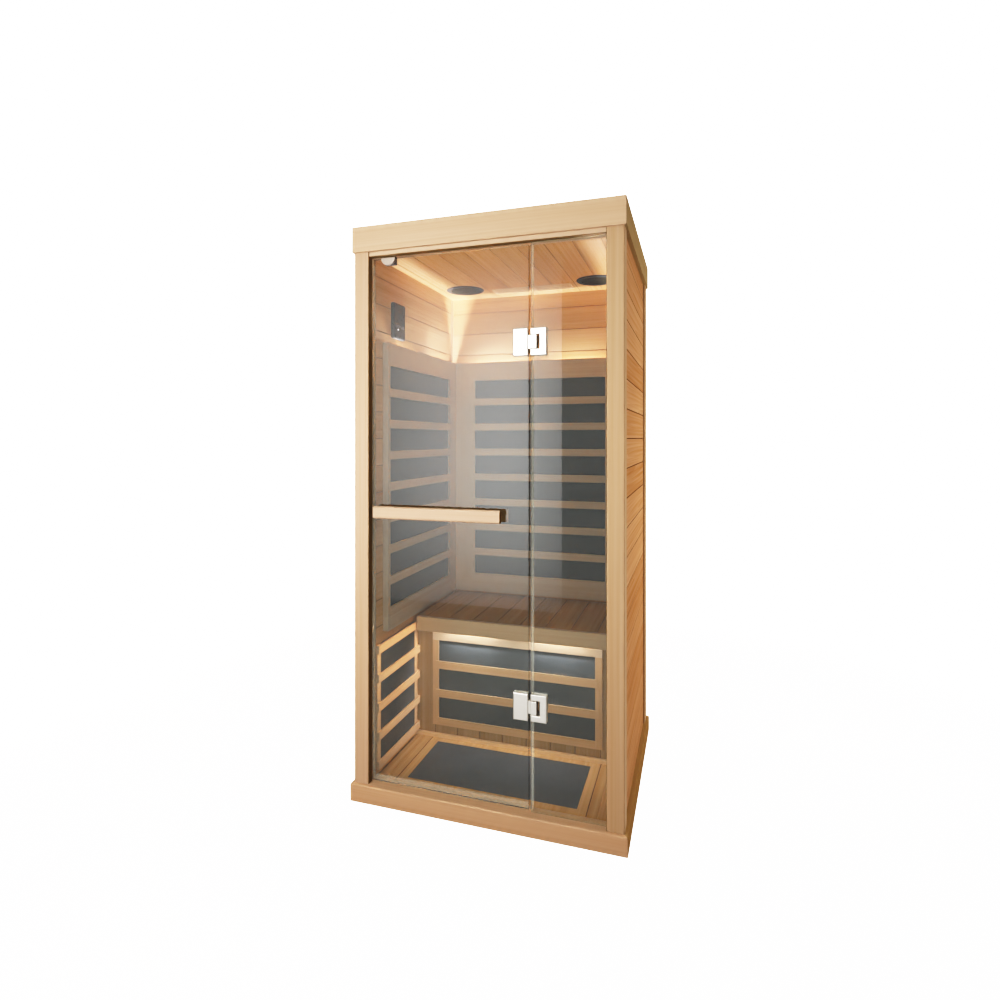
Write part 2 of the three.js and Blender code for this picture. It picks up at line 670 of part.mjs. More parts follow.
// Back heater
const backSpan = innerX - FIT;
const backField = innerX - BACK_HEATER_STILE;
const backHeater = { ...wallHeater, span: [-backSpan, backSpan], field: [-backField, backField] };
part('back_heater_grille', heaterGrille(onBackWall, backHeater), PALE_WOOD);
part('back_heater_panel', heaterPanel(onBackWall, backHeater), CARBON);
part('back_lamp_rail', lampRail(onBackWall, backHeater.span, lampDepth, lampZ, 1), LAMP_PLASTIC);

// Side heaters, up to the face of the back one; the right one stays behind the post of the fixed pane
const heaterInset = { left: LEFT_HEATER_INSET, right: RIGHT_HEATER_INSET };
for (const [place, side] of SIDES) {
  const at = onSideWall(side);
  const sideSpan = [wallFrontY + heaterInset[place], innerBackY - wallHeater.frame[1] - FIT];
  const sideField = [sideSpan[0] + SIDE_HEATER_FRONT_STILE, sideSpan[1] - SIDE_HEATER_BACK_STILE];
  const sideHeater = { ...wallHeater, span: sideSpan, field: sideField };
  part(`${place}_heater_grille`, heaterGrille(at, sideHeater), PALE_WOOD);
  part(`${place}_heater_panel`, heaterPanel(at, sideHeater), CARBON);
  part(`${place}_lamp_rail`, lampRail(at, sideSpan, lampDepth, lampZ, 1), LAMP_PLASTIC);
}

// Calf heaters between the front posts and the bench
const calfInset = { left: LEFT_CALF_INSET, right: RIGHT_CALF_INSET };
const calfBottom = floorTop + CALF_ABOVE_FLOOR;
const calfTop = seatBottom - CALF_BELOW_SEAT;
const calfPitch = (calfTop - calfBottom - CALF_SLAT_HEIGHT) / (CALF_SLATS - 1);
const battenDepth = [0, CALF_BATTEN_THICKNESS];
const slatDepth = [0, CALF_BATTEN_THICKNESS + CALF_SLAT_THICKNESS];
for (const [place, side] of SIDES) {
  const at = onSideWall(side);
  const calfY = [wallFrontY + calfInset[place], skirtY - FIT];
  const rearBattenY = calfY[1] - CALF_SLAT_OVERRUN;
  const calfBattens = [
    [calfY[0], calfY[0] + CALF_BATTEN_WIDTH],
    [rearBattenY - CALF_BATTEN_WIDTH, rearBattenY],
  ];
  let grille = at(calfBattens[0], battenDepth, [calfBottom, calfTop]);
  grille = grille.add(at(calfBattens[1], battenDepth, [calfBottom, calfTop]));
  for (let slat = 0; slat < CALF_SLATS; slat += 1) {
    const from = calfBottom + slat * calfPitch;
    const slatZ = [from, from + CALF_SLAT_HEIGHT];
    const behind = at([calfBattens[0][1], calfBattens[1][0]], battenDepth, slatZ);
    grille = grille.add(at(calfY, slatDepth, slatZ).subtract(behind));
  }
  part(`${place}_calf_grille`, grille, PALE_WOOD);
  const panelY = [calfBattens[0][1] + FIT, calfBattens[1][0] - FIT];
  part(`${place}_calf_panel`, at(panelY, [0, CALF_PANEL_THICKNESS], [calfBottom, calfTop]), CARBON);
}

// Bench: a boarded skirt with a skirting strip, the seat, its apron and a cleat on the back wall
const benchX = innerX - SEAT_SIDE_GAP;
const skirtX = innerX - FIT;
const skirtGrooves = pitched(SKIRT_BOARD_PITCH / 2, SKIRT_BOARD_PITCH, -skirtX, skirtX);
const skirtSection = swapped(groovedSection(skirtY, skirtY + SKIRT_THICKNESS, -skirtX, skirtX, skirtGrooves));
const skirting = block(
  [-skirtX, skirtX],
  [skirtY - SKIRTING, skirtY + SKIRT_THICKNESS],
  [floorTop, floorTop + SKIRTING],
);
part('bench_skirt', prism(skirtSection, 'z', floorTop, seatBottom).add(skirting), WARM_WOOD);
const seatGrooves = pitched(SEAT_FIRST_GROOVE, SEAT_BOARD_PITCH, -benchX, benchX);
const seatSection = swapped(groovedSection(SEAT_TOP, seatBottom, -benchX, benchX, seatGrooves));
const apronBackY = seatFrontY + APRON_THICKNESS;
part('bench_seat', prism(seatSection, 'y', apronBackY, innerBackY), WARM_WOOD);
const apronZ = [SEAT_TOP - APRON_HEIGHT, SEAT_TOP];
const apronSection = roundedRectangle([seatFrontY, apronBackY], apronZ, APRON_EDGE_RADIUS);
part('bench_apron', prism(apronSection, 'x', -benchX, benchX), PALE_WOOD);
const cleat = onBackWall([-benchX, benchX], [0, CLEAT_THICKNESS], [seatBottom - CLEAT_HEIGHT, seatBottom]);
part('bench_back_cleat', cleat, WARM_WOOD);

// Heater in the bench front, and the lamp rail behind the apron
const benchGrilleX = innerX - BENCH_GRILLE_SIDE_GAP;
const benchGrilleBottom = floorTop + BENCH_GRILLE_RISE;
const benchHeater = {
  ...grilleDepths(BENCH_STANDOFF, BENCH_FRAME_THICKNESS, BENCH_SLAT_THICKNESS),
  span: [-benchGrilleX, benchGrilleX],
  field: [BENCH_STILE - benchGrilleX, benchGrilleX - BENCH_STILE],
  bottom: benchGrilleBottom,
  rail: BENCH_RAIL,
  rows: rowsThatFit(seatBottom - BENCH_HEADROOM - benchGrilleBottom, BENCH_RAIL),
  edge: BENCH_RETURN,
  panel: BENCH_PANEL_THICKNESS,
};
part('bench_heater_grille', heaterGrille(onSkirt, benchHeater), PALE_WOOD);
part('bench_heater_panel', heaterPanel(onSkirt, benchHeater), CARBON);
const apronBackDepth = skirtY - apronBackY;
const benchLampDepth = [apronBackDepth - LAMP_RAIL_DEPTH, apronBackDepth];
const benchLampZ = [seatBottom - LAMP_RAIL_HEIGHT, seatBottom];
part('bench_lamp_rail', lampRail(onSkirt, benchHeater.span, benchLampDepth, benchLampZ, -1), LAMP_PLASTIC);

// Control panel on the left wall, above the heater
const controlY = wallFrontY + CONTROL_INSET;
const controlZ = heaterTop + CONTROL_ABOVE_HEATER;
const controlOutline = roundedRectangle(
  [controlY, controlY + CONTROL_WIDTH], [controlZ, controlZ + CONTROL_HEIGHT], CONTROL_RADIUS,
);
const controlX = [-innerX, CONTROL_THICKNESS - innerX];
part('control_panel', prism(controlOutline, 'x', ...controlX, CONTROL_BEVEL), DARK_PLASTIC);

// Hinges: each has a door leaf with a knuckle, a fixed leaf with a window for it, and a pin
const leafEdgeX = doorRightX - LEAF_OVERHANG;
const fixedLeafX = fixedLeftX - LEAF_OVERHANG;
const windowX = axisX + WINDOW_PAST_AXIS;
const windowHeight = KNUCKLE_HEIGHT + 2 * KNUCKLE_GAP;
const coreHeight = HINGE_HEIGHT - 2 * HINGE_CORE_MARGIN;
const pinLength = HINGE_HEIGHT - 2 * PIN_MARGIN;
const coreX = windowX + HINGE_CORE_DEPTH;
const plateFrontY = glassFrontY - PLATE_THICKNESS;
const plateBackY = glassBackY + PLATE_THICKNESS;
const around = (z, height) => [z - height / 2, z + height / 2];
function leafPlates(outline) {
  const front = prism(outline, 'y', plateFrontY, glassFrontY, PLATE_BEVEL);
  const back = prism(outline, 'y', glassBackY, plateBackY, PLATE_BEVEL);
  return [front, back];
}
function doorLeaf(z) {
  const outline = rectangle([leafEdgeX - DOOR_LEAF_WIDTH, leafEdgeX], around(z, HINGE_HEIGHT));
  const [front, back] = leafPlates(outline);
  const knucklePlan = roundedRectangle(
    [fixedLeafX, axisX + KNUCKLE_REACH], [plateFrontY, plateBackY], KNUCKLE_CHAMFER, 1,
  );
  const neck = block(
    [leafEdgeX - KNUCKLE_ROOT, axisX],
    [plateFrontY + KNUCKLE_NECK, plateBackY - KNUCKLE_NECK],
    around(z, KNUCKLE_HEIGHT),
  );
  const knuckle = prism(knucklePlan, 'z', ...around(z, KNUCKLE_HEIGHT)).add(neck);
  const bore = bar('z', PIN_RADIUS + SLIDE_FIT, [axisX, axisY], ...around(z, HINGE_HEIGHT));
  return front.add(back).add(knuckle).subtract(bore);
}
function fixedLeaf(z) {
  const [low, high] = around(z, HINGE_HEIGHT);
  const [windowLow, windowHigh] = around(z, windowHeight);
  const rightX = fixedLeafX + FIXED_LEAF_WIDTH;
  const outline = [
    [fixedLeafX, low],
    [rightX, low],
    [rightX, high],
    [fixedLeafX, high],
    [fixedLeafX, windowHigh],
    [windowX, windowHigh],
    [windowX, windowLow],
    [fixedLeafX, windowLow],
  ];
  const [front, back] = leafPlates(outline);
  const inPlate = PLATE_THICKNESS / 2;
  const coreY = [glassFrontY - inPlate, glassBackY + inPlate];
  const core = block([fixedLeftX, coreX], coreY, around(z, coreHeight));
  const opening = block([fixedLeafX, windowX], coreY, [windowLow, windowHigh]);
  const boreZ = around(z, pinLength + 2 * SLIDE_FIT);
  const bore = bar('z', PIN_RADIUS + SLIDE_FIT, [axisX, axisY], ...boreZ);
  return front.add(back).add(core.subtract(opening)).subtract(bore);
}
const hinges = [
  ['upper', doorTop - UPPER_HINGE_BELOW_TOP],
  ['lower', doorBottom + LOWER_HINGE_ABOVE_BOTTOM],
];
for (const [place, z] of hinges) {
  part(`${place}_hinge_door_leaf`, doorLeaf(z), NICKEL);
  part(`${place}_hinge_fixed_leaf`, fixedLeaf(z), NICKEL);
  part(`${place}_hinge_pin`, bar('z', PIN_RADIUS, [axisX, axisY], ...around(z, pinLength)), NICKEL);
}

// Fixed pane, cut out around the cores of the hinges
const paneY = [glassFrontY, glassBackY];
const pane = hinges.reduce(
  (glass, [, z]) => glass.subtract(
    block([fixedLeftX, coreX + FIT], paneY, around(z, coreHeight + 2 * FIT)),
  ),
  block([fixedLeftX, paneRightX], paneY, [paneBottom, paneTop]),
);
part('fixed_glass', pane, CLEAR_GLASS);

// Door glass, notched for the knuckles and drilled for the handle
const handleLeftX = doorLeftX + HANDLE_INSET;
const handleX = [handleLeftX, doorRightX - HANDLE_FROM_HINGES];
const handleMiddle = doorBottom + HANDLE_ABOVE_BOTTOM;
const bossesX = [handleX[0] + BOSS_INSET, handleX[1] - BOSS_INSET];
const notchX = [leafEdgeX - KNUCKLE_ROOT - FIT, doorRightX];
let door = block([doorLeftX, doorRightX], paneY, [doorBottom, doorTop]);
for (const [, z] of hinges) {
  door = door.subtract(block(notchX, paneY, around(z, KNUCKLE_HEIGHT + 2 * FIT)));
}
for (const x of bossesX) {
  door = door.subtract(bar('y', STUD_RADIUS + GLASS_HOLE_GAP, [x, handleMiddle], ...paneY));
}
part('door_glass', door, CLEAR_GLASS);

// Handle bars on bosses; two studs of the inner bar reach through the glass into the outer one
const handleZ = around(handleMiddle, HANDLE_HEIGHT);
const outerFaceY = glassFrontY - HANDLE_STANDOFF;
const innerFaceY = glassBackY + HANDLE_STANDOFF;
const gripSection = (ys) => roundedRectangle(ys, handleZ, HANDLE_RADIUS);
const grip = (xs, ys) => prism(gripSection(ys), 'x', ...xs, HANDLE_END_BEVEL, END_FACETS);
const innerBarX = [handleX[0] - INNER_BAR_LONGER, handleX[1] + INNER_BAR_LONGER];
const studEndY = outerFaceY - STUD_IN_GRIP;
let outerHandle = grip(handleX, [outerFaceY - HANDLE_DEPTH, outerFaceY]);
let innerHandle = grip(innerBarX, [innerFaceY, innerFaceY + HANDLE_DEPTH]);
for (const x of bossesX) {
  const centre = [x, handleMiddle];
  const inGrip = HANDLE_DEPTH / 2;
  outerHandle = outerHandle.add(bar('y', BOSS_RADIUS, centre, outerFaceY - inGrip, glassFrontY));
  outerHandle = outerHandle.subtract(
    bar('y', STUD_RADIUS + SLIDE_FIT, centre, studEndY - SLIDE_FIT, glassFrontY),
  );
  innerHandle = innerHandle.add(bar('y', BOSS_RADIUS, centre, glassBackY, innerFaceY + inGrip));
  innerHandle = innerHandle.add(bar('y', STUD_RADIUS, centre, studEndY, innerFaceY));
}
part('handle_outer', outerHandle, PALE_WOOD);
part('handle_inner', innerHandle, PALE_WOOD);

// Half-round catch clip over the top edge of the door, and the magnet that holds it
const clipX = doorLeftX + CLIP_INSET;
const clipTop = doorTop + CLIP_CAP;
const clipArc = Array.from({ length: CLIP_FACETS + 1 }, (_, step) => {
  const angle = Math.PI + (step / CLIP_FACETS) * Math.PI;
  return [clipX + CLIP_RADIUS * Math.cos(angle), clipTop + CLIP_RADIUS * Math.sin(angle)];
});
const clipBackY = glassBackY + CLIP_PLATE;
const clipBody = prism(clipArc, 'y', glassFrontY - CLIP_PLATE, clipBackY, CLIP_BEVEL);
const clipSlot = block([clipX - CLIP_RADIUS, clipX + CLIP_RADIUS], paneY, [clipTop - CLIP_RADIUS, doorTop]);
part('catch_clip', clipBody.subtract(clipSlot), NICKEL);
const magnetY = clipBackY + MAGNET_GAP;
const magnetX = [clipX - MAGNET_WIDTH / 2, clipX + MAGNET_WIDTH / 2];
part(
  'catch_magnet',
  block(magnetX, [magnetY, magnetY + MAGNET_DEPTH], [headBottom - MAGNET_HEIGHT, headBottom]),
  DARK_PLASTIC,
);

// Seal around the latch edge and the bottom edge of the door
const sealBead = DOOR_SIDE_GAP - SEAL_RUNNING_GAP;
const sealX = doorLeftX - sealBead;
const sealBottom = doorBottom - sealBead;
const sealY = [glassFrontY - SEAL_LIP, glassBackY + SEAL_LIP];
const sideSeal = block([sealX, sealX + SEAL_SIDE_WIDTH], sealY, [sealBottom, doorTop - SEAL_TOP_CLEARANCE]);
const bottomSeal = block([sealX, doorRightX], sealY, [sealBottom, sealBottom + SEAL_BOTTOM_HEIGHT]);
const sealSlot = block([doorLeftX, doorRightX], paneY, [doorBottom, doorTop]);
part('door_edge_seal', sideSeal.add(bottomSeal).subtract(sealSlot), SOFT_SEAL);

export default cabin;
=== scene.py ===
# %% [markdown]
# # An infrared sauna cabin for one person
# The frame holds every board, pane, heater and hinge leaf at its real size. This lesson dresses it: wood, toughened
# glass, heater film, metal and lamp light, and the small pieces that only matter to the eye.
# The frame is loaded first, because each later piece takes its place from the boxes of its nodes.

# %% Load the frame
import math

import bmesh
import bpy
from mathutils import Matrix, Vector


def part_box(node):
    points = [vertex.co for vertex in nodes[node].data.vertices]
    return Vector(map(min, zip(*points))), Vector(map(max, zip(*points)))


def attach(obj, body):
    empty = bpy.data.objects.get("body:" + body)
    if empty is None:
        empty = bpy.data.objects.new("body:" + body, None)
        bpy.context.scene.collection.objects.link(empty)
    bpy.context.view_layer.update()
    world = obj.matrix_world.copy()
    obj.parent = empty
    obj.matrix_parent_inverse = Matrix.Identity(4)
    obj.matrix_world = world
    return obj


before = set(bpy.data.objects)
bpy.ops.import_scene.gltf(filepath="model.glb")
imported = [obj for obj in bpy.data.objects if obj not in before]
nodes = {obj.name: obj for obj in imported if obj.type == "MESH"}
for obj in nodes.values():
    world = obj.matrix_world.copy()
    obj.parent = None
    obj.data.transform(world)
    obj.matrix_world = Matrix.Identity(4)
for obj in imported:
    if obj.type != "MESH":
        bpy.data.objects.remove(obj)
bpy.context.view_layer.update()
scene = bpy.context.scene
MM = 0.001
X, Y, Z = 0, 1, 2

# %% [markdown]
# ## The camera
# Upright edges stay parallel in a product picture like this one, so the camera is level and looks at the corner of
# the cabin from about shoulder height. The picture is framed by shifting the lens, as with a view camera.
# Tilting the camera instead would make the posts lean.

# %% Camera
CAMERA_PLACE = (0.6793, -2.4366, 1.2823)
CAMERA_TURN = 0.3283
LENS_MM = 22.88
SENSOR_MM = 36.0
LENS_SHIFT = (0.020, -0.0615)

camera_data = bpy.data.cameras.new("studio_camera")
camera_data.lens = LENS_MM
camera_data.sensor_width = SENSOR_MM
camera_data.shift_x, camera_data.shift_y = LENS_SHIFT
camera = bpy.data.objects.new("studio_camera", camera_data)
camera.location = CAMERA_PLACE
camera.rotation_euler = (math.pi / 2, 0, CAMERA_TURN)
scene.collection.objects.link(camera)
scene.camera = camera
print("camera: level, turned", round(math.degrees(CAMERA_TURN), 1), "degrees")

# %% [markdown]
# ## The tone of a print
# A camera doesn't record light in even steps. Shadows deepen, so that wood in the shade looks richer, and highlights
# roll off softly instead of clipping to yellow. A tone curve does the same here: each point is (light, print), where
# 0 is black and 1 is the white of the paper.

# %% Tone curve
TONES = ((0.06, 0.028), (0.15, 0.102), (0.3, 0.272), (0.5, 0.525), (0.75, 0.75), (1.0, 0.875), (1.5, 0.965))
PAPER_WHITE_FROM = 2.5

look = scene.view_settings
look.view_transform = "Standard"
look.use_curve_mapping = True
curves = look.curve_mapping
curves.use_clip = False
curves.extend = "HORIZONTAL"
for channel in curves.curves[:3]:
    channel.points[0].location = (0, 0)
    channel.points[1].location = (PAPER_WHITE_FROM, 1)
    for light, tone in TONES:
        channel.points.new(light, tone)
    for point in channel.points:
        point.handle_type = "AUTO_CLAMPED"
curves.update()
print("tone curve:", len(TONES) + 2, "points, paper white from", PAPER_WHITE_FROM)

# %% [markdown]
# ## Small helpers for every finish
# Colours are written as sRGB hex values, as a paint chart gives them, and shaders want linear light. A finish is a
# tree of nodes, and one function adds a node with its settings and its links. That keeps a material as short as
# its recipe: where it is, how large the pattern is, and what it changes.

# %% Colour and node helpers
MIX_A, MIX_B, MIXED = 6, 7, 2


def linear(code):
    """The linear RGBA of an sRGB hex colour."""
    levels = [int(code[i:i + 2], 16) / 255 for i in (1, 3, 5)]
    return [c / 12.92 if c <= 0.04045 else ((c + 0.055) / 1.055) ** 2.4 for c in levels] + [1.0]


def per_metre(size_mm):
    """How often a pattern of this size repeats in a metre, the unit of the object coordinates."""
    return 1 / (size_mm * MM)


def add(tree, kind, links=None, **settings):
    """One node of a tree. Links gives its inputs, as values or as other nodes' outputs; its own outputs come back."""
    whole = kind.startswith(("NodeGroup", "Geometry"))
    made = tree.nodes.new(kind if whole else "ShaderNode" + kind)
    for key, value in settings.items():
        setattr(made, key, value)
    for socket, value in (links or {}).items():
        if isinstance(value, bpy.types.NodeSocket):
            tree.links.new(value, made.inputs[socket])
        else:
            made.inputs[socket].default_value = value
    return made.outputs


def new_finish(name, **sockets):
    """A material's tree and its shader's inputs; sockets holds what is the same all over the surface."""
    material = bpy.data.materials.new(name)
    material.use_nodes = True
    shader = material.node_tree.nodes["Principled BSDF"]
    for socket, value in sockets.items():
        shader.inputs[socket.replace("_", " ")].default_value = value
    return material, material.node_tree, shader.inputs


print("helpers: linear, per_metre, add, new_finish")

# %% [markdown]
# ## Studio floor
# The cabin stands on a plain white sweep. Close to it the floor is a matt surface that takes a soft contact shadow,
# and further out it turns into the white of the backdrop, so no horizon shows. A plain large plane would do too,
# but its far edge would draw a grey line behind the cabin.

# %% Floor sweep
FLOOR_RADIUS = 14.0
MATT_TO = 1.9
WHITE_FROM = 3.6
FLOOR_SIDES = 96
PAPER_FIBRE_MM = 40
SWEEP_LIT = 0.6
BACKDROP = 3.2
SWEEP_BOUNCE = "#A07B50"
IN_METAL = 0.75
IN_METAL_LEVEL = 0.3
FLOOR_IN_GLASS = (0.5, 0.85)
FLOOR_IN_GLASS_AT = (0.8, 1.6)
WORLD_IN_GLASS = 0.92


def by_ray(tree, seen, in_metal, in_glass, lighting):
    """Mixes what the eye sees of a surface, what satin metal and clean glass mirror of it, and what it lights."""
    ray = add(tree, "LightPath")
    bounced = add(tree, "Math", {0: ray["Diffuse Depth"], 1: ray["Glossy Depth"]}, operation="ADD")[0]
    direct = add(tree, "Math", {0: bounced, 1: 0.5}, operation="LESS_THAN")[0]
    mirrored = add(tree, "MixShader", {0: ray["Is Singular Ray"], 1: in_metal, 2: in_glass})[0]
    indirect = add(tree, "MixShader", {0: ray["Is Glossy Ray"], 1: lighting, 2: mirrored})[0]
    return add(tree, "MixShader", {0: direct, 1: indirect, 2: seen})[0]


sweep, tree, shader = new_finish("white_paper_sweep", Base_Color=linear("#FAFAFA"))
place = add(tree, "TexCoord")["Object"]
fibres = add(tree, "TexNoise", {"Vector": place, "Scale": per_metre(PAPER_FIBRE_MM)})[0]
tree.links.new(add(tree, "MapRange", {0: fibres, "To Min": 0.85, "To Max": 0.95})[0], shader["Roughness"])
away = add(tree, "VectorMath", {0: place}, operation="LENGTH")["Value"]
fade = add(tree, "MapRange", {0: away, "From Min": MATT_TO, "From Max": WHITE_FROM, "To Min": SWEEP_LIT})[0]
glow = add(tree, "Emission", {"Color": linear("#FFFFFF"), "Strength": BACKDROP})[0]
matt = tree.nodes["Principled BSDF"].outputs[0]
lit = add(tree, "MixShader", {0: fade, 1: matt, 2: glow})[0]
bounce = add(tree, "BsdfDiffuse", {"Color": linear(SWEEP_BOUNCE)})[0]
in_metal = add(tree, "Emission", {"Color": linear("#FFFFFF"), "Strength": IN_METAL})[0]
glare = add(tree, "MapRange", {0: away, 1: FLOOR_IN_GLASS_AT[0], 2: FLOOR_IN_GLASS_AT[1], 3: FLOOR_IN_GLASS[0],
                               4: FLOOR_IN_GLASS[1]})[0]
in_glass = add(tree, "Emission", {"Color": linear("#FFFFFF"), "Strength": glare})[0]
both = by_ray(tree, lit, in_metal, in_glass, bounce)
tree.links.new(both, tree.nodes["Material Output"].inputs[0])

floor_mesh = bmesh.new()
bmesh.ops.create_circle(floor_mesh, cap_ends=True, segments=FLOOR_SIDES, radius=FLOOR_RADIUS)
floor_data = bpy.data.meshes.new("floor_sweep")
floor_mesh.to_mesh(floor_data)
floor_mesh.free()
floor_data.materials.append(sweep)
floor = bpy.data.objects.new("floor_sweep", floor_data)
scene.collection.objects.link(floor)
print("floor: matt to", MATT_TO, "m, white from", WHITE_FROM, "m")

# %% [markdown]
# ## Studio light
# Large soft lamps stand at the front left, at the right, behind and overhead. The front left one is the strongest,
# so the crown and the posts fall off in brightness towards the right.
# A tall white card behind the camera is there for the glass alone: its mirror image is the pale veil over the
# upper left part of the door. It fades out at its foot and its top, as a lit studio wall does.

# %% Backdrop and soft lamps
AMBIENT = 0.22
CABIN_MIDDLE = Vector((0, 0, 1.0))
OUTER_WOOD = [name for name in nodes if name.startswith(("crown", "post", "base", "roof", "power", "head"))
              or name.endswith("wall_outer") or name == "handle_outer"]
OUTER_METAL = [name for name in nodes if name.endswith(("_leaf", "_pin", "catch_clip"))]
SEE_THROUGH = [name for name in nodes if name.endswith(("_glass", "_seal"))]
SHADED = ["left_heater_grille", "left_calf_grille", "handle_inner"]
INSIDE = [name for name in nodes if name not in OUTER_WOOD + OUTER_METAL + SEE_THROUGH + SHADED]

world = bpy.data.worlds.new("white_backdrop")
scene.world = world
world.use_nodes = True
tree = world.node_tree
dim = add(tree, "Background", {"Color": linear("#FFC97C"), "Strength": AMBIENT})[0]
rise = add(tree, "SeparateXYZ", {0: add(tree, "TexCoord")["Generated"]})[Z]
lift = add(tree, "MapRange", {0: rise, 1: 0.09, 2: 0.34, 3: IN_METAL_LEVEL, 4: IN_METAL})[0]
in_metal = add(tree, "Background", {"Color": linear("#FFFFFF"), "Strength": lift})[0]
in_glass = add(tree, "Background", {"Color": linear("#FFFFFF"), "Strength": WORLD_IN_GLASS})[0]
bright = add(tree, "Background", {"Color": linear("#FFFFFF"), "Strength": BACKDROP})[0]
both = by_ray(tree, bright, in_metal, in_glass, dim)
tree.links.new(both, tree.nodes["World Output"].inputs[0])


def soft_lamp(name, place, size, power, colour, aim=CABIN_MIDDLE):
    """A rectangular lamp of this width and height in metres and power in watts, turned to face its aim."""
    data = bpy.data.lights.new(name, "AREA")
    data.shape = "RECTANGLE"
    data.size, data.size_y = size
    data.energy = power
    data.color = linear(colour)[:3]
    lamp = bpy.data.objects.new(name, data)
    lamp.location = place
    lamp.rotation_euler = (Vector(aim) - lamp.location).to_track_quat("-Z", "Y").to_euler()
    lamp.visible_camera = False
    scene.collection.objects.link(lamp)
    return lamp


def receivers(name, pieces):
    """A collection of the pieces that a lamp may light."""
    group = bpy.data.collections.new(name)
    for lit in pieces:
        group.objects.link(lit)
    return group


outer_wood = receivers("outer_wood", [nodes[name] for name in OUTER_WOOD] + [floor])
outside = receivers("outside", [nodes[name] for name in OUTER_WOOD + OUTER_METAL] + [floor])
inside = receivers("inside", [nodes[name] for name in INSIDE])
ceiling = receivers("ceiling", [nodes["ceiling_panel"]])
top = receivers("top", [nodes[name] for name in nodes if name.startswith(("crown", "roof", "power", "speaker"))])
calf_slats = receivers("calf_slats", [nodes["left_calf_grille"]])
out_of_lamp_light = receivers("out_of_lamp_light", [nodes["head_rail"]])
for entry in out_of_lamp_light.collection_objects:
    entry.light_linking.link_state = "EXCLUDE"
for name, place, size, power, colour, aim, group in (
        ("key_front_left", (-0.5, -2.2, 1.35), 0.8, 33, "#FCFDFF", (-0.1, -0.44, 1.25), outside),
        ("overhead", (0.0, -0.3, 4.6), 4.4, 12, "#FFE8C8", CABIN_MIDDLE, outside),
        ("fill_right", (2.0, 0.75, 1.1), 1.0, 19, "#F4E4BC", CABIN_MIDDLE, outer_wood),
        ("fill_left", (-2.9, 0.4, 1.2), 1.6, 40, "#FFFAF4", CABIN_MIDDLE, outer_wood),
        ("fill_back", (-0.3, 3.2, 1.4), 1.8, 50, "#FFFFFF", CABIN_MIDDLE, outer_wood),
        ("fill_inside", (0.2, -2.4, 0.75), 1.2, 26, "#FFE6C4", CABIN_MIDDLE, inside),
        ("fill_ceiling", (0.1, -1.2, 0.4), 0.8, 62, "#FFE2C0", (0.0, 0.0, 1.94), ceiling),
        ("fill_roof", (0.0, 0.0, 4.2), 0.6, 36, "#FFFAF2", CABIN_MIDDLE, top),
        ("fill_low", (0.2, -0.36, 0.85), 0.3, 1.8, "#FFCB98", (-0.41, -0.2, 0.5), calf_slats)):
    lamp = soft_lamp(name, place, (size, size), power, colour, aim)
    lamp.light_linking.receiver_collection = group
    if group == calf_slats:
        lamp.data.spread = math.radians(70)

# %% White card for the glass
CARD_X = (-2.46, -0.253)
CARD_Z = (0.0, 2.95)
CARD_Y = -3.0
CARD_LIGHT = 6.6
CARD_PEAK_X = -0.73
CARD_FALL_X = 0.32
CARD_RISE_X = -2.76
CARD_FOOT = (-1.12, 1.2)
CARD_HEAD = (2.95, 1.95)
CARD_LEAST = 0.85
FOOT_POWER = 1.4

card_paper, tree, shader = new_finish("white_card", Roughness=0.9)
xyz = add(tree, "SeparateXYZ", {0: add(tree, "TexCoord")["Object"]})
level = CARD_LIGHT
for axis, (dark_at, bright_at), power in ((X, (CARD_RISE_X, CARD_PEAK_X), 1.0), (X, (CARD_FALL_X, CARD_PEAK_X), 1.0),
                                          (Z, CARD_FOOT, FOOT_POWER), (Z, CARD_HEAD, 1.0)):
    rise = add(tree, "MapRange", {0: xyz[axis], 1: dark_at, 2: bright_at}, interpolation_type="SMOOTHSTEP")[0]
    rise = add(tree, "Math", {0: rise, 1: power}, operation="POWER")[0]
    level = add(tree, "Math", {0: rise, 1: level}, operation="MULTIPLY")[0]
level = add(tree, "Math", {0: level, 1: CARD_LEAST}, operation="MAXIMUM")[0]
glow = add(tree, "Emission", {"Color": linear("#FFFFFF"), "Strength": level})[0]
tree.links.new(glow, tree.nodes["Material Output"].inputs[0])

card_mesh = bmesh.new()
corners = [(x, CARD_Y, z) for x, z in zip((*CARD_X, *reversed(CARD_X)), (CARD_Z[0],) * 2 + (CARD_Z[1],) * 2)]
card_mesh.faces.new([card_mesh.verts.new(corner) for corner in corners])
card_data = bpy.data.meshes.new("white_card")
card_mesh.to_mesh(card_data)
card_mesh.free()
card_data.materials.append(card_paper)
card = bpy.data.objects.new("white_card", card_data)
card.visible_camera = False
card.visible_diffuse = False
card.visible_transmission = False
card.visible_shadow = False
scene.collection.objects.link(card)
print("white card:", round(CARD_X[1] - CARD_X[0], 2), "by", CARD_Z[1] - CARD_Z[0], "m")

# %% [markdown]
# ## Hemlock, planed and sanded
# Every board of the cabin is a pale softwood, kiln-dried, planed and fine-sanded, and left without lacquer. The eye
# sees soft straight streaks along the board, slow changes of tone, and boards of the same wall that differ a little.
# One recipe makes all of it. Noise that is stretched along the grain gives the streaks, a chance value for each
# board gives the tones, and long nested ellipses give the arcs of boards that were sawn flat through the log.
# Real growth rings are 2 or 3 mm apart; here they are drawn coarser, so that they show at this picture's scale.

# %% Wood recipe
RING_MM = 9
GRAIN_LENGTH_MM = 900
TONE_WIDTH_MM = 75
TONE_LENGTH_MM = 2600
ARC_RING_MM = 13
ARC_STRETCH = 0.028
ARC_SHIFT = 2.4
WAVE_PERIOD = 0.314
RELIEF_MM = 0.25
# Painted shade: the dark tone that stands for the shadow in the gaps round the glass and at the end of the outer handle
# bar.
PAINTED_SHADE = "#8A7048"
JOINT_MM = (0.5, 1.9)


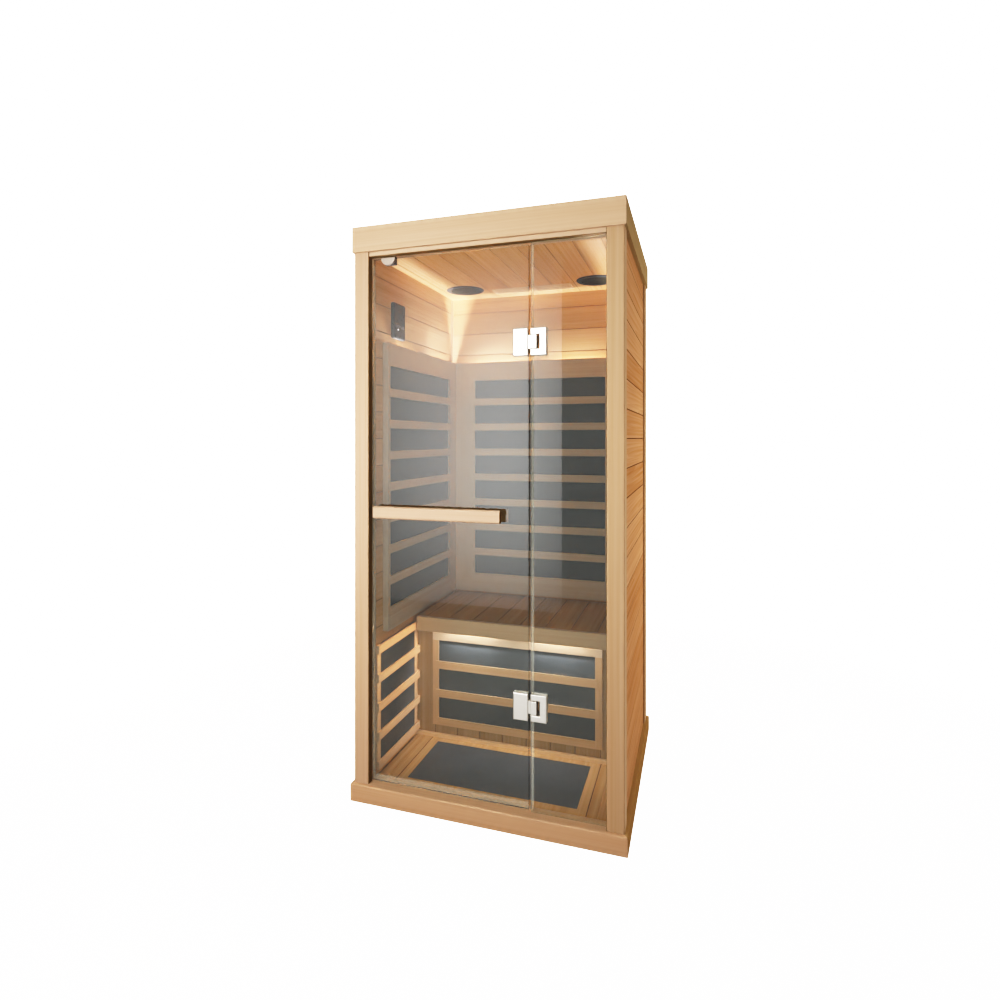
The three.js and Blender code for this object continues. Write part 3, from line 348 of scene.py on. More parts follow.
def hemlock(name, grain, light, dark, boards=None, upright=None, arcs=0.0, streaks=0.5, joints=0.0,
            painted_light_zones=(), painted_light_tone=PAINTED_SHADE, sheen=0.2):
    """Wood whose grain runs along one axis. Boards is (axis, one joint, pitch) in mm, for a panel of boards;
    upright is (axis, low, high) in mm: beyond those the grain runs up, as in the stiles of a frame. The zones are a
    list of (axis, low, high) in mm: what lies inside all of those ranges takes the zone tone, which is painted shade in
    some places and painted lamp light in others."""
    material, tree, shader = new_finish(name, IOR=1.5, Specular_IOR_Level=sheen)
    place = add(tree, "TexCoord")["Object"]
    xyz = add(tree, "SeparateXYZ", {0: place})
    chance = add(tree, "ObjectInfo")["Random"]
    if boards:
        axis, joint, pitch = boards
        past = add(tree, "Math", {0: xyz[axis], 1: joint * MM}, operation="SUBTRACT")[0]
        count = add(tree, "Math", {0: past, 1: pitch * MM}, operation="DIVIDE")[0]
        number = add(tree, "Math", {0: count}, operation="FLOOR")[0]
        chance = add(tree, "Math", {0: number, 1: 0.618, 2: chance}, operation="MULTIPLY_ADD")[0]
    lot = add(tree, "TexWhiteNoise", {"W": chance}, noise_dimensions="1D")["Value"]
    seed = add(tree, "Math", {0: lot, 1: 60.0}, operation="MULTIPLY")[0]
    turned_up = None
    if upright:
        axis, low, high = upright
        middle, half = (low + high) / 2 * MM, (high - low) / 2 * MM
        off = add(tree, "Math", {0: xyz[axis], 1: middle}, operation="SUBTRACT")[0]
        off = add(tree, "Math", {0: off}, operation="ABSOLUTE")[0]
        turned_up = add(tree, "Math", {0: off, 1: half}, operation="GREATER_THAN")[0]

    def stretched(width_mm, length_mm):
        """Noise of this width across the grain and this length along it."""
        ways = []
        for axis in (grain, Z) if upright else (grain,):
            scale = [per_metre(width_mm)] * 3
            scale[axis] = per_metre(length_mm)
            ways.append(add(tree, "VectorMath", {0: place, 1: scale}, operation="MULTIPLY")[0])
        vector = ways[0]
        if upright:
            vector = add(tree, "Mix", {0: turned_up, 4: ways[0], 5: ways[1]}, data_type="VECTOR")[1]
        noise = add(tree, "TexNoise", {"Vector": vector, "W": seed, "Scale": 1.0, "Detail": 4.0, "Roughness": 0.6},
                    noise_dimensions="4D")[0]
        return add(tree, "MapRange", {0: noise, 1: 0.3, 2: 0.7})[0]

    rings = stretched(RING_MM, GRAIN_LENGTH_MM)
    tones = stretched(TONE_WIDTH_MM, TONE_LENGTH_MM)
    shade = add(tree, "Math", {0: rings, 1: streaks * (1 - arcs / 2)}, operation="MULTIPLY")[0]
    shade = add(tree, "Math", {0: tones, 1: 0.25, 2: shade}, operation="MULTIPLY_ADD")[0]
    shade = add(tree, "Math", {0: lot, 1: 0.28, 2: shade}, operation="MULTIPLY_ADD")[0]
    if arcs:
        inside = add(tree, "Math", {0: count, 1: number}, operation="SUBTRACT")[0]
        inside = add(tree, "Math", {0: inside, 1: lot}, operation="SUBTRACT")[0]
        across = add(tree, "Math", {0: inside, 1: pitch * MM}, operation="MULTIPLY")[0]
        along = add(tree, "Math", {0: lot, 1: ARC_SHIFT, 2: xyz[grain]}, operation="MULTIPLY_ADD")[0]
        along = add(tree, "Math", {0: along, 1: 1.2}, operation="SUBTRACT")[0]
        along = add(tree, "Math", {0: along, 1: ARC_STRETCH}, operation="MULTIPLY")[0]
        flat = add(tree, "CombineXYZ", {0: along, 1: across, 2: 0.0})[0]
        arc = add(tree, "TexWave", {"Vector": flat, "Scale": WAVE_PERIOD * per_metre(ARC_RING_MM), "Distortion": 2.6,
                                    "Detail": 2.0, "Detail Scale": 0.8},
                  wave_type="RINGS", rings_direction="Z", wave_profile="SAW")["Fac"]
        shade = add(tree, "Math", {0: arc, 1: arcs, 2: shade}, operation="MULTIPLY_ADD")[0]
    colour = add(tree, "Mix", {0: shade, MIX_A: linear(light), MIX_B: linear(dark)}, data_type="RGBA")[MIXED]
    if joints:
        off = add(tree, "Math", {0: past, 1: pitch * MM / 2}, operation="PINGPONG")[0]
        gap = add(tree, "MapRange", {0: off, 1: JOINT_MM[0] * MM, 2: JOINT_MM[1] * MM, 3: joints, 4: 0.0})[0]
        colour = add(tree, "Mix", {0: gap, MIX_A: colour, MIX_B: linear("#4A2E18")}, data_type="RGBA")[MIXED]
    # Painted light: within the zones the wood colour gives way to the zone tone, which is painted shade in some places
    # and painted lamp light in others.
    painted_light_mask = 1.0
    for axis, low, high in painted_light_zones:
        above = add(tree, "Math", {0: xyz[axis], 1: low * MM}, operation="GREATER_THAN")[0]
        below = add(tree, "Math", {0: xyz[axis], 1: high * MM}, operation="LESS_THAN")[0]
        within = add(tree, "Math", {0: above, 1: below}, operation="MULTIPLY")[0]
        painted_light_mask = add(tree, "Math", {0: within, 1: painted_light_mask}, operation="MULTIPLY")[0]
    if painted_light_zones:
        colour = add(tree, "Mix", {0: painted_light_mask, MIX_A: colour, MIX_B: linear(painted_light_tone)}, data_type="RGBA")[MIXED]
    tree.links.new(colour, shader["Base Color"])
    tree.links.new(add(tree, "MapRange", {0: rings, "To Min": 0.44, "To Max": 0.6})[0], shader["Roughness"])
    relief = add(tree, "Bump", {"Strength": 0.35, "Distance": RELIEF_MM * MM, "Height": rings})[0]
    tree.links.new(relief, shader["Normal"])
    return material


print("wood: rings drawn", RING_MM, "mm apart, arcs", ARC_RING_MM, "mm")

# %% [markdown]
# ## Edges
# A machined board is never sharp: its arris is eased with sandpaper so that it doesn't splinter. The ease is what
# catches the light along each edge. The solids have sharp corners, so modifiers round them: the doubled corners of
# the triangles are welded, flat areas are made one face again, and a narrow bevel goes round what is left.
# Weighted normals then keep the broad faces flat to the eye. The meshes themselves stay untouched.

# %% Edge easing
WELD_MM = 0.01
FLAT_ANGLE = math.radians(0.6)
CORNER_ANGLE = math.radians(32)

smooth_faces = bpy.data.node_groups.new("smooth_faces", "GeometryNodeTree")
smooth_faces.interface.new_socket("Geometry", in_out="INPUT", socket_type="NodeSocketGeometry")
smooth_faces.interface.new_socket("Geometry", in_out="OUTPUT", socket_type="NodeSocketGeometry")
mesh_in = add(smooth_faces, "NodeGroupInput")[0]
faces = add(smooth_faces, "GeometryNodeSetShadeSmooth", {"Geometry": mesh_in}, domain="FACE")[0]
edges = add(smooth_faces, "GeometryNodeSetShadeSmooth", {"Geometry": faces}, domain="EDGE")[0]
add(smooth_faces, "NodeGroupOutput", {0: edges})


def ease(piece, width_mm, segments=2):
    """Rounds the corners of a piece by this width and keeps its broad faces flat to the eye."""
    weld = piece.modifiers.new("weld", "WELD")
    weld.merge_threshold = WELD_MM * MM
    whole = piece.modifiers.new("whole_faces", "DECIMATE")
    whole.decimate_type = "DISSOLVE"
    whole.angle_limit = FLAT_ANGLE
    bevel = piece.modifiers.new("eased_edges", "BEVEL")
    bevel.width = width_mm * MM
    bevel.segments = segments
    bevel.limit_method = "ANGLE"
    bevel.angle_limit = CORNER_ANGLE
    smooth = piece.modifiers.new("smooth_faces", "NODES")
    smooth.node_group = smooth_faces
    piece.modifiers.new("flat_to_the_eye", "WEIGHTED_NORMAL")


print("edges: corners over", round(math.degrees(CORNER_ANGLE)), "degrees are eased")


# %% [markdown]
# ## Dress a node
# A node of the frame keeps its mesh and gets its finish in place of the plain one that it came with.

# %% Dressing
def dress(material, edge_mm, *names):
    """Gives these nodes of the frame a finish and eases their edges."""
    for name in names:
        node = nodes[name]
        node.data.materials.clear()
        node.data.materials.append(material)
        ease(node, edge_mm)


def both_sides(name):
    """The left and the right node of a pair."""
    return "left_" + name, "right_" + name


print("dress: ready for", len(nodes), "nodes")

# %% [markdown]
# ## Outer frame: crown, posts, base
# The boards that frame the cabin are the palest and the straightest, cut on the quarter so that the grain runs as
# fine lines. The base boards were picked from redder stock, and stand warmer than the crown.

# %% Frame woods
PALE = ("#DFCCB6", "#CCB294")
WARM = ("#DABFA2", "#C7A683")
PALE_POST = ("#D6C0AB", "#C4A88A")
# Painted shade: the right post takes a darker, more saturated copy of the post wood, which stands for the weaker light
# on the right; the back posts share it.
SHADED_POST = ("#CEB99D", "#BDA17F")
APRON = ("#D8C2A6", "#C7AA87")
# Painted shade: the crown and base sides take darker copies of the frame woods, which stand for the lower light on
# those faces.
PALE_SHADED_SIDE = ("#C0B59E", "#B09E80")
WARM_SHADED_SIDE = ("#C0A985", "#AF936C")
BOARD_EDGE = 1.5
# Painted shade: the faces of the head rail and the front posts in front of the glass are darkened, standing for the
# shadow in the gap round the panes.
BEFORE_GLASS = (Y, -460, -417)
HEAD_PAINTED_SHADE = (BEFORE_GLASS, (Z, 0, 1924.6))
JAMB_PAINTED_SHADE = (BEFORE_GLASS, (X, -415.6, 415.6))

dress(hemlock("hemlock_quartersawn_x", X, *PALE, painted_light_zones=HEAD_PAINTED_SHADE), BOARD_EDGE, "crown_front", "crown_back",
      "head_rail")
dress(hemlock("hemlock_quartersawn_y", Y, *PALE_SHADED_SIDE, sheen=0.0), BOARD_EDGE, "crown_left", "crown_right")
dress(hemlock("hemlock_quartersawn_z", Z, *PALE_POST, painted_light_zones=JAMB_PAINTED_SHADE), BOARD_EDGE, "post_front_left")
dress(hemlock("hemlock_shaded_post_z", Z, *SHADED_POST, painted_light_zones=JAMB_PAINTED_SHADE), BOARD_EDGE, "post_front_right", "post_back_left",
      "post_back_right")
dress(hemlock("hemlock_warm_x", X, *WARM), BOARD_EDGE, "base_front", "base_back")
dress(hemlock("hemlock_warm_y", Y, *WARM_SHADED_SIDE, sheen=0.0), BOARD_EDGE, "base_left", "base_right")
print("frame woods: crown, posts, head rail, base")

# %% [markdown]
# ## Walls, ceiling, floor and bench boards
# The walls are tongue and groove boards 98 mm high. The outer ones have the strong orange figure of boards sawn
# flat; the lining inside is calmer and lighter. Ceiling and seat boards run front to back.

# %% Board panels
OUTER = ("#E2C8B2", "#BD936C")
LINING = ("#DDBA8E", "#C09661")
# Painted shade: the skirt takes a darker wood tone, which stands for the shade under the seat.
SHADED_SKIRT = ("#C0AA8E", "#A68961")
SEAT = ("#BF9D68", "#A67F47")
WALL_BOARDS = (Z, 1870, 98)
CEILING_BOARDS = (X, 0, 96)
FLOOR_BOARDS = (X, 341, 682)
SEAT_BOARDS = (X, 33, 98.5)
SKIRT_BOARDS = (X, 48, 96)
# Painted light: a pale band of the skirt between these depths stands for the glow of the bench lamps falling there.
SKIRT_LAMP_GLOW = (Y, -40, -20.5)

dress(hemlock("hemlock_flatsawn_y", Y, *OUTER, boards=WALL_BOARDS, arcs=0.2, joints=1.0, sheen=0.0), 0.5,
      *both_sides("wall_outer"))
dress(hemlock("hemlock_flatsawn_x", X, *OUTER, boards=WALL_BOARDS, arcs=0.2, joints=1.0, sheen=0.0), 0.5,
      "back_wall_outer")
dress(hemlock("hemlock_lining_y", Y, *LINING, boards=WALL_BOARDS, arcs=0.12, joints=0.6), 0.5,
      *both_sides("wall_inner"))
dress(hemlock("hemlock_lining_x", X, *LINING, boards=WALL_BOARDS, arcs=0.12, joints=0.6), 0.5,
      "back_wall_inner")
dress(hemlock("hemlock_ceiling", Y, *LINING, boards=CEILING_BOARDS, arcs=0.12, joints=0.7), 0.5,
      "ceiling_panel")
dress(hemlock("hemlock_floor", Y, *LINING, boards=FLOOR_BOARDS, joints=0.8), 0.6, "floor_boards")
dress(hemlock("hemlock_seat", Y, *SEAT, boards=SEAT_BOARDS, arcs=0.12, joints=0.6), 0.6,
      "bench_seat")
# Painted light: the pale band on the skirt is lamp glow painted into its colour.
dress(hemlock("hemlock_skirt", Z, *SHADED_SKIRT, boards=SKIRT_BOARDS, joints=0.6, painted_light_zones=(SKIRT_LAMP_GLOW,), painted_light_tone="#F0D2AC"),
      0.5, "bench_skirt")
dress(hemlock("hemlock_cleat", X, *LINING), 1.0, "bench_back_cleat")
print("board panels: walls, ceiling, floor, bench")

# %% [markdown]
# ## Heater grilles, bench apron and handle
# The grilles are light frames with slats across them. Their stiles stand upright, so the grain turns there, and
# each slat is a stick of its own with a tone of its own.

# %% Grilles and handle
# Painted shade: the inner handle bar, the same pale wood in the real cabin, takes a darker brown that stands for the
# shade it lies in behind the glass.
SHADED_HANDLE_WOOD = ("#9A7B55", "#7C5E3E")
SLAT_PITCH = 116
WALL_GRILLE_RAIL = 84 - 32
CALF_BATTEN_FACE = 411
# Painted shade: the end of the outer handle bar takes the dark painted tone, which stands for the shade at its end.
HANDLE_END_SHADE = (X, 70.5, 80)
BENCH = ("#DFC09D", "#CCA87F")
# Painted light: the top rail of the bench grille takes a pale tone, which stands for the light of the bench lamps just
# above it.
BENCH_RAIL_LAMP_GLOW = (Z, 458, 490)


def slats_of(grille, rail):
    """The first slat's lower edge and the pitch of the slats, for a grille whose bottom rail has this height."""
    return Z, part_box(grille)[0].z / MM + rail, SLAT_PITCH


BACK_STILES = (X, -312, 312)
SIDE_STILES = (Y, -318, 300)
dress(hemlock("hemlock_back_grille", X, *PALE, boards=slats_of("back_heater_grille", WALL_GRILLE_RAIL),
              upright=BACK_STILES), 1.2, "back_heater_grille")
dress(hemlock("hemlock_side_grille", Y, *PALE, boards=slats_of("left_heater_grille", WALL_GRILLE_RAIL),
              upright=SIDE_STILES), 1.2, *both_sides("heater_grille"))
dress(hemlock("hemlock_bench_grille", X, *BENCH, boards=slats_of("bench_heater_grille", 0), upright=(X, -318, 318),
              painted_light_zones=(BENCH_RAIL_LAMP_GLOW,), painted_light_tone="#E3CBB2"),
      1.2, "bench_heater_grille")
dress(hemlock("hemlock_calf_grille", Y, *PALE, boards=(Z, 70, 104.5), upright=(X, -CALF_BATTEN_FACE, CALF_BATTEN_FACE)),
      1.0, *both_sides("calf_grille"))
dress(hemlock("hemlock_apron", X, *APRON), 2.0, "bench_apron")
dress(hemlock("hemlock_handle", X, *PALE_POST, streaks=0.35, painted_light_zones=(HANDLE_END_SHADE,)), 1.0, "handle_outer")
dress(hemlock("hemlock_handle_inner_shaded", X, *SHADED_HANDLE_WOOD, streaks=0.35), 1.0, "handle_inner")
print("grilles and handle dressed")

# %% [markdown]
# ## Roof board
# Birch plywood closes the cabin on top, where nobody looks. Rotary-cut veneer shows wide wandering figure, without
# straight rings, so its noise is wide and only a little longer than it is broad.

# %% Roof plywood
VENEER_MM = (90, 420)

plywood, tree, shader = new_finish("birch_plywood_sanded", IOR=1.5)
place = add(tree, "TexCoord")["Object"]
scale = [per_metre(VENEER_MM[1]), per_metre(VENEER_MM[0]), per_metre(VENEER_MM[0])]
laid = add(tree, "VectorMath", {0: place, 1: scale}, operation="MULTIPLY")[0]
figure = add(tree, "TexNoise", {"Vector": laid, "Scale": 1.0, "Detail": 5.0, "Distortion": 1.4})[0]
colour = add(tree, "Mix", {0: figure, MIX_A: linear("#E3C79C"), MIX_B: linear("#C7A06C")}, data_type="RGBA")[MIXED]
tree.links.new(colour, shader["Base Color"])
tree.links.new(add(tree, "MapRange", {0: figure, "To Min": 0.5, "To Max": 0.7})[0], shader["Roughness"])
dress(plywood, 1.0, "roof_panel")
print("roof: plywood")

# %% [markdown]
# ## Carbon heater film
# Each heater is a printed carbon film between two smooth laminate sheets. The surface is mid grey with a soft sheen,
# and a fine mottle from the laminate. Mottle is about a millimetre on the real sheet and is drawn at 6 mm.

# %% Heater laminate
MOTTLE_MM = 6
CLOUD_MM = 140

laminate, tree, shader = new_finish("carbon_film_laminate", IOR=1.5)
place = add(tree, "TexCoord")["Object"]
mottle = add(tree, "TexNoise", {"Vector": place, "Scale": per_metre(MOTTLE_MM), "Detail": 2.0})[0]
cloud = add(tree, "TexNoise", {"Vector": place, "Scale": per_metre(CLOUD_MM), "Detail": 2.0})[0]
shade = add(tree, "Math", {0: mottle, 1: 0.4, 2: cloud}, operation="MULTIPLY_ADD")[0]
shade = add(tree, "MapRange", {0: shade, 1: 0.4, 2: 1.0})[0]
colour = add(tree, "Mix", {0: shade, MIX_A: linear("#565A5E"), MIX_B: linear("#62666A")}, data_type="RGBA")[MIXED]
tree.links.new(colour, shader["Base Color"])
tree.links.new(add(tree, "MapRange", {0: mottle, "To Min": 0.3, "To Max": 0.42})[0], shader["Roughness"])
relief = add(tree, "Bump", {"Strength": 0.04, "Distance": 0.1 * MM, "Height": mottle})[0]
tree.links.new(relief, shader["Normal"])
dress(laminate, 0.6, "floor_heater", "back_heater_panel", "bench_heater_panel", *both_sides("heater_panel"),
      *both_sides("calf_panel"))
print("heaters: carbon film laminate")

# %% [markdown]
# ## Toughened glass
# The door and the fixed pane are 8 mm float glass, toughened, with ground and polished edges. It is clear with a
# breath of green. The rollers of the oven leave long waves in it, some hundredths of a millimetre deep, which only
# bend reflections a little. The panes cast no shadow, so the studio lamps reach the inside, as through real glass.

# %% Glass
ROLLER_MM = (900, 300)
ROLLER_DEPTH_MM = 0.05

glass, tree, shader = new_finish("toughened_glass_polished", Base_Color=linear("#F3F8F4"), IOR=1.52, Roughness=0.0,
                                 Transmission_Weight=1.0)
place = add(tree, "TexCoord")["Object"]
scale = [per_metre(ROLLER_MM[0]), 1.0, per_metre(ROLLER_MM[1])]
rolled = add(tree, "VectorMath", {0: place, 1: scale}, operation="MULTIPLY")[0]
waves = add(tree, "TexNoise", {"Vector": rolled, "Scale": 1.0, "Detail": 1.0})[0]
tree.links.new(add(tree, "Bump", {"Distance": ROLLER_DEPTH_MM * MM, "Height": waves})[0], shader["Normal"])
dress(glass, 0.7, "door_glass", "fixed_glass")
for pane in ("door_glass", "fixed_glass"):
    nodes[pane].visible_shadow = False
print("glass: two panes of 8 mm")

# %% [markdown]
# ## Satin nickel
# The hinges and the catch clip are cast brass, nickel plated, then brushed with a fine belt. The brushing runs
# along the plate, so highlights spread across it. The lines are some hundredths of a millimetre wide; drawn at 1 mm.

# %% Nickel
BRUSH_MM = (60, 1.0)

nickel, tree, shader = new_finish("satin_nickel_brushed", Metallic=1.0)
place = add(tree, "TexCoord")["Object"]
scale = [per_metre(BRUSH_MM[0]), per_metre(BRUSH_MM[1]), per_metre(BRUSH_MM[1])]
brushed = add(tree, "VectorMath", {0: place, 1: scale}, operation="MULTIPLY")[0]
lines = add(tree, "TexNoise", {"Vector": brushed, "Scale": 1.0, "Detail": 2.0})[0]
colour = add(tree, "Mix", {0: lines, MIX_A: linear("#E4E0D8"), MIX_B: linear("#D2CDC4")}, data_type="RGBA")[MIXED]
tree.links.new(colour, shader["Base Color"])
tree.links.new(add(tree, "MapRange", {0: lines, "To Min": 0.24, "To Max": 0.38})[0], shader["Roughness"])
hinges = [f"{height}_hinge_{part}" for height in ("upper", "lower") for part in ("door_leaf", "fixed_leaf", "pin")]
dress(nickel, 0.8, *hinges)
print("nickel:", len(hinges), "hinge pieces")

# %% [markdown]
# ## Moulded plastics, powder coat and clear vinyl
# Speakers, control panel and catch are moulded ABS with a spark-eroded texture: dark grey, with a broad weak sheen.
# The power unit is folded steel with powder coat, whose orange peel shows as a fine ripple.
# The door seal is drawn from clear vinyl, slightly yellow and cloudy.

# %% Plastics and coating
SPARK_MM = 2.0
PEEL_MM = 3.0
VINYL_MM = 12


def grained(name, size_mm, light, dark, rough, relief_mm, **sockets):
    """A surface with an even fine grain of this size, which varies its colour, its roughness and its height."""
    material, tree, shader = new_finish(name, **sockets)
    place = add(tree, "TexCoord")["Object"]
    grain = add(tree, "TexNoise", {"Vector": place, "Scale": per_metre(size_mm), "Detail": 3.0})[0]
    colour = add(tree, "Mix", {0: grain, MIX_A: linear(light), MIX_B: linear(dark)}, data_type="RGBA")[MIXED]
    tree.links.new(colour, shader["Base Color"])
    tree.links.new(add(tree, "MapRange", {0: grain, 3: rough[0], 4: rough[1]})[0], shader["Roughness"])
    relief = add(tree, "Bump", {"Strength": 0.3, "Distance": relief_mm * MM, "Height": grain})[0]
    tree.links.new(relief, shader["Normal"])
    return material


abs_dark = grained("abs_spark_eroded", SPARK_MM, "#3B3936", "#2C2A28", (0.5, 0.65), 0.1, IOR=1.54,
                   Specular_IOR_Level=0.3)
powder = grained("powder_coat_orange_peel", PEEL_MM, "#45464A", "#393A3E", (0.4, 0.55), 0.15, IOR=1.5)
mesh_coat = grained("matt_coated_steel_sheet", PEEL_MM, "#483C28", "#3A3120", (0.7, 0.85), 0.1, IOR=1.5,
                    Specular_IOR_Level=0.1)
vinyl = grained("clear_vinyl_drawn", VINYL_MM, "#FBFAF5", "#F5F3EC", (0.02, 0.05), 0.02, IOR=1.08,
                Transmission_Weight=0.975)
tumbled = grained("nickel_tumbled", 4.0, "#AA9E92", "#9A8E82", (0.3, 0.42), 0.05, Metallic=1.0)
dress(abs_dark, 1.0, "speaker_left", "speaker_right", "control_panel", "catch_magnet")
dress(powder, 1.2, "power_unit")
dress(tumbled, 0.8, "catch_clip")
dress(vinyl, 0.4, "door_edge_seal")
nodes["door_edge_seal"].visible_shadow = False
print("plastics: ABS, powder coat, vinyl")

# %% [markdown]
# ## Lamp rails and their light
# A slim rail lies behind the top of each wall heater, and one hangs behind the bench apron. Each carries two short
# lamps under an opal lens. The lens alone would light the wall too weakly and too noisily, so a small rectangular
# lamp lies just in front of each lens and throws the glow up the wall, or down the bench grille.

# %% Lamp finish
opal = grained("opal_polycarbonate_moulded", 8.0, "#FFFFFF", "#F4F1EA", (0.3, 0.45), 0.05, IOR=1.58,
               Emission_Color=linear("#FFF1DC"), Emission_Strength=3.0)
aluminium = grained("anodised_aluminium_extruded", 3.0, "#C9C9C6", "#B4B4B1", (0.35, 0.5), 0.05, Metallic=1.0)
rails = ["back_lamp_rail", *both_sides("lamp_rail"), "bench_lamp_rail"]
dress(aluminium, 0.6, *rails)
print("lamp rails:", len(rails))

# %% [markdown]
# ## Mesh tools for the small pieces
# Two ways of making cover nearly all of them. A turned piece is a profile swept round an axis, as on a lathe. A
# drawn piece is an outline pulled along a line, as through a die. Both are written in millimetres and then placed.

# %% Turned and drawn meshes
def turned(profile, facets=32, closed=False):
    """A mesh turned about Z from (radius, height) points; a closed profile makes a ring."""
    mesh = bmesh.new()
    rows = []
    for radius, height in profile:
        turns = [2 * math.pi * k / facets for k in range(facets if radius else 1)]
        rows.append([mesh.verts.new((radius * math.cos(t), radius * math.sin(t), height)) for t in turns])
    pairs = list(zip(rows, rows[1:])) + ([(rows[-1], rows[0])] if closed else [])
    for low, high in pairs:
        for k in range(facets):
            ring = [low[k % len(low)], low[(k + 1) % len(low)], high[(k + 1) % len(high)], high[k % len(high)]]
            mesh.faces.new(dict.fromkeys(ring))
    return mesh


def drawn(outline, length):
    """A mesh drawn up Z from a closed outline of (x, y) points."""
    mesh = bmesh.new()
    foot = [mesh.verts.new((x, y, 0)) for x, y in outline]
    head = [mesh.verts.new((x, y, length)) for x, y in outline]
    mesh.faces.new(reversed(foot))
    mesh.faces.new(head)
    for k in range(len(outline)):
        after = (k + 1) % len(outline)
        mesh.faces.new((foot[k], foot[after], head[after], head[k]))
    return mesh


def rounded(width, height, corner, steps=5):
    """The outline of a rectangle with round corners, about its middle."""
    points = []
    for quarter, (sx, sy) in enumerate(((1, 1), (-1, 1), (-1, -1), (1, -1))):
        for k in range(steps + 1):
            turn = math.pi / 2 * (quarter + k / steps)
            points.append((sx * (width / 2 - corner) + corner * math.cos(turn),
                           sy * (height / 2 - corner) + corner * math.sin(turn)))
    return points


def facing(place, way, up=Z):
    """The matrix that puts a mesh made in mm at a place in mm, with its Z axis along way and its Y axis near up."""
    forward = Vector(way).normalized()
    upward = Vector([1.0 if axis == up else 0.0 for axis in (X, Y, Z)])
    side = upward.cross(forward).normalized()
    turn = Matrix((side, forward.cross(side), forward)).transposed().to_4x4()
    return Matrix.Scale(MM, 4) @ Matrix.Translation(place) @ turn


def piece(name, mesh, place, finish, body, slot, edge_mm=0.0):
    """Puts a mesh in its place as a piece that rides on a body, with a finish and eased edges; the slot is not used."""
    mesh.transform(place)
    bmesh.ops.recalc_face_normals(mesh, faces=mesh.faces)
    data = bpy.data.meshes.new(name)
    mesh.to_mesh(data)
    mesh.free()
    data.materials.append(finish)
    made = bpy.data.objects.new(name, data)
    scene.collection.objects.link(made)
    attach(made, body)
    if edge_mm:
        ease(made, edge_mm)
    return made


def box_mm(node):
    """The lowest and highest corners of a node in mm."""
    low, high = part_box(node)
    return low / MM, high / MM


print("mesh tools: turned, drawn, rounded, facing, piece")

# %% [markdown]
# ## Opal lenses and lamps
# A lens is a short bar with a half-round face that clips over the lamp on its rail. It is drawn from a D outline.

# %% Lenses
LENS_LENGTH = 64
LENS_WIDTH = 9
LENS_RISE = 4
LAMP_SPACING = 360
BACK_LAMP_WATTS = 2.85
LEFT_LAMP_WATTS = 6.9
RIGHT_LAMP_WATTS = 9.0
BENCH_LAMP_WATTS = 0.85
BACK_GLOW = 240
SIDE_GLOW = 90
BENCH_GLOW = 200
LAMP_WIDTH = 6
LAMP_CLEAR = 1.5


def lens_outline():
    """A flat foot with an elliptic face over it."""
    turns = [math.pi * k / 12 for k in range(13)]
    return [(LENS_WIDTH / 2 * math.cos(t), LENS_RISE * math.sin(t)) for t in turns]


def lamp_pair(rail, run, lit, watts, glow, clear, colour="#F3F0FF"):
    """The two lenses and lamps of a rail that runs along an axis and is lit upwards or downwards."""
    low, high = box_mm(rail)
    middle = (low + high) / 2
    middle.z = high.z if lit > 0 else low.z
    way = Vector([1.0 if axis == run else 0.0 for axis in (X, Y, Z)])
    for k, step in enumerate((-LAMP_SPACING / 2, LAMP_SPACING / 2)):
        at = middle + way * (step - LENS_LENGTH / 2)
        face = Vector((0, 0, lit))
        side = face.cross(way)
        turn = Matrix((side, face, way)).transposed().to_4x4()
        stand = Matrix.Scale(MM, 4) @ Matrix.Translation(at) @ turn
        piece(f"{rail}_lens_{k + 1}", drawn(lens_outline(), LENS_LENGTH), stand, opal, "cabin", "lamp_lens", 0.4)
        spot = (middle + way * step + face * (LENS_RISE + clear)) * MM
        lamp = soft_lamp(f"{rail}_lamp_{k + 1}", spot, (glow * MM, LAMP_WIDTH * MM), watts, colour, spot + face)
        lamp.rotation_euler = Matrix((way, (-face).cross(way), -face)).transposed().to_euler()
        lamp.light_linking.receiver_collection = out_of_lamp_light


lamp_pair("back_lamp_rail", X, 1, BACK_LAMP_WATTS, BACK_GLOW, LAMP_CLEAR)
lamp_pair("left_lamp_rail", Y, 1, LEFT_LAMP_WATTS, SIDE_GLOW, LAMP_CLEAR)
lamp_pair("right_lamp_rail", Y, 1, RIGHT_LAMP_WATTS, SIDE_GLOW, LAMP_CLEAR)
lamp_pair("bench_lamp_rail", X, -1, BENCH_LAMP_WATTS, BENCH_GLOW, 1.0, "#F4F2F8")
print("lamps: two on each of", len(rails), "rails")

# %% [markdown]
# ## Speaker grilles
# Each speaker looks down through a thin steel sheet with round holes in a honeycomb pattern, set in the plastic rim
# and slightly domed. The holes are real: every cell of the honeycomb is a hexagon with a hole in it. Real holes are
# 2 mm wide; these are larger, so that they show.

# %% Speaker grilles
HOLE_PITCH = 6.0
HOLE_RADIUS = 2.1
GRILLE_RADIUS = 71.0
GRILLE_DOME = 2.0
GRILLE_SHEET = 0.8
FLANGE_WIDTH = 8.0


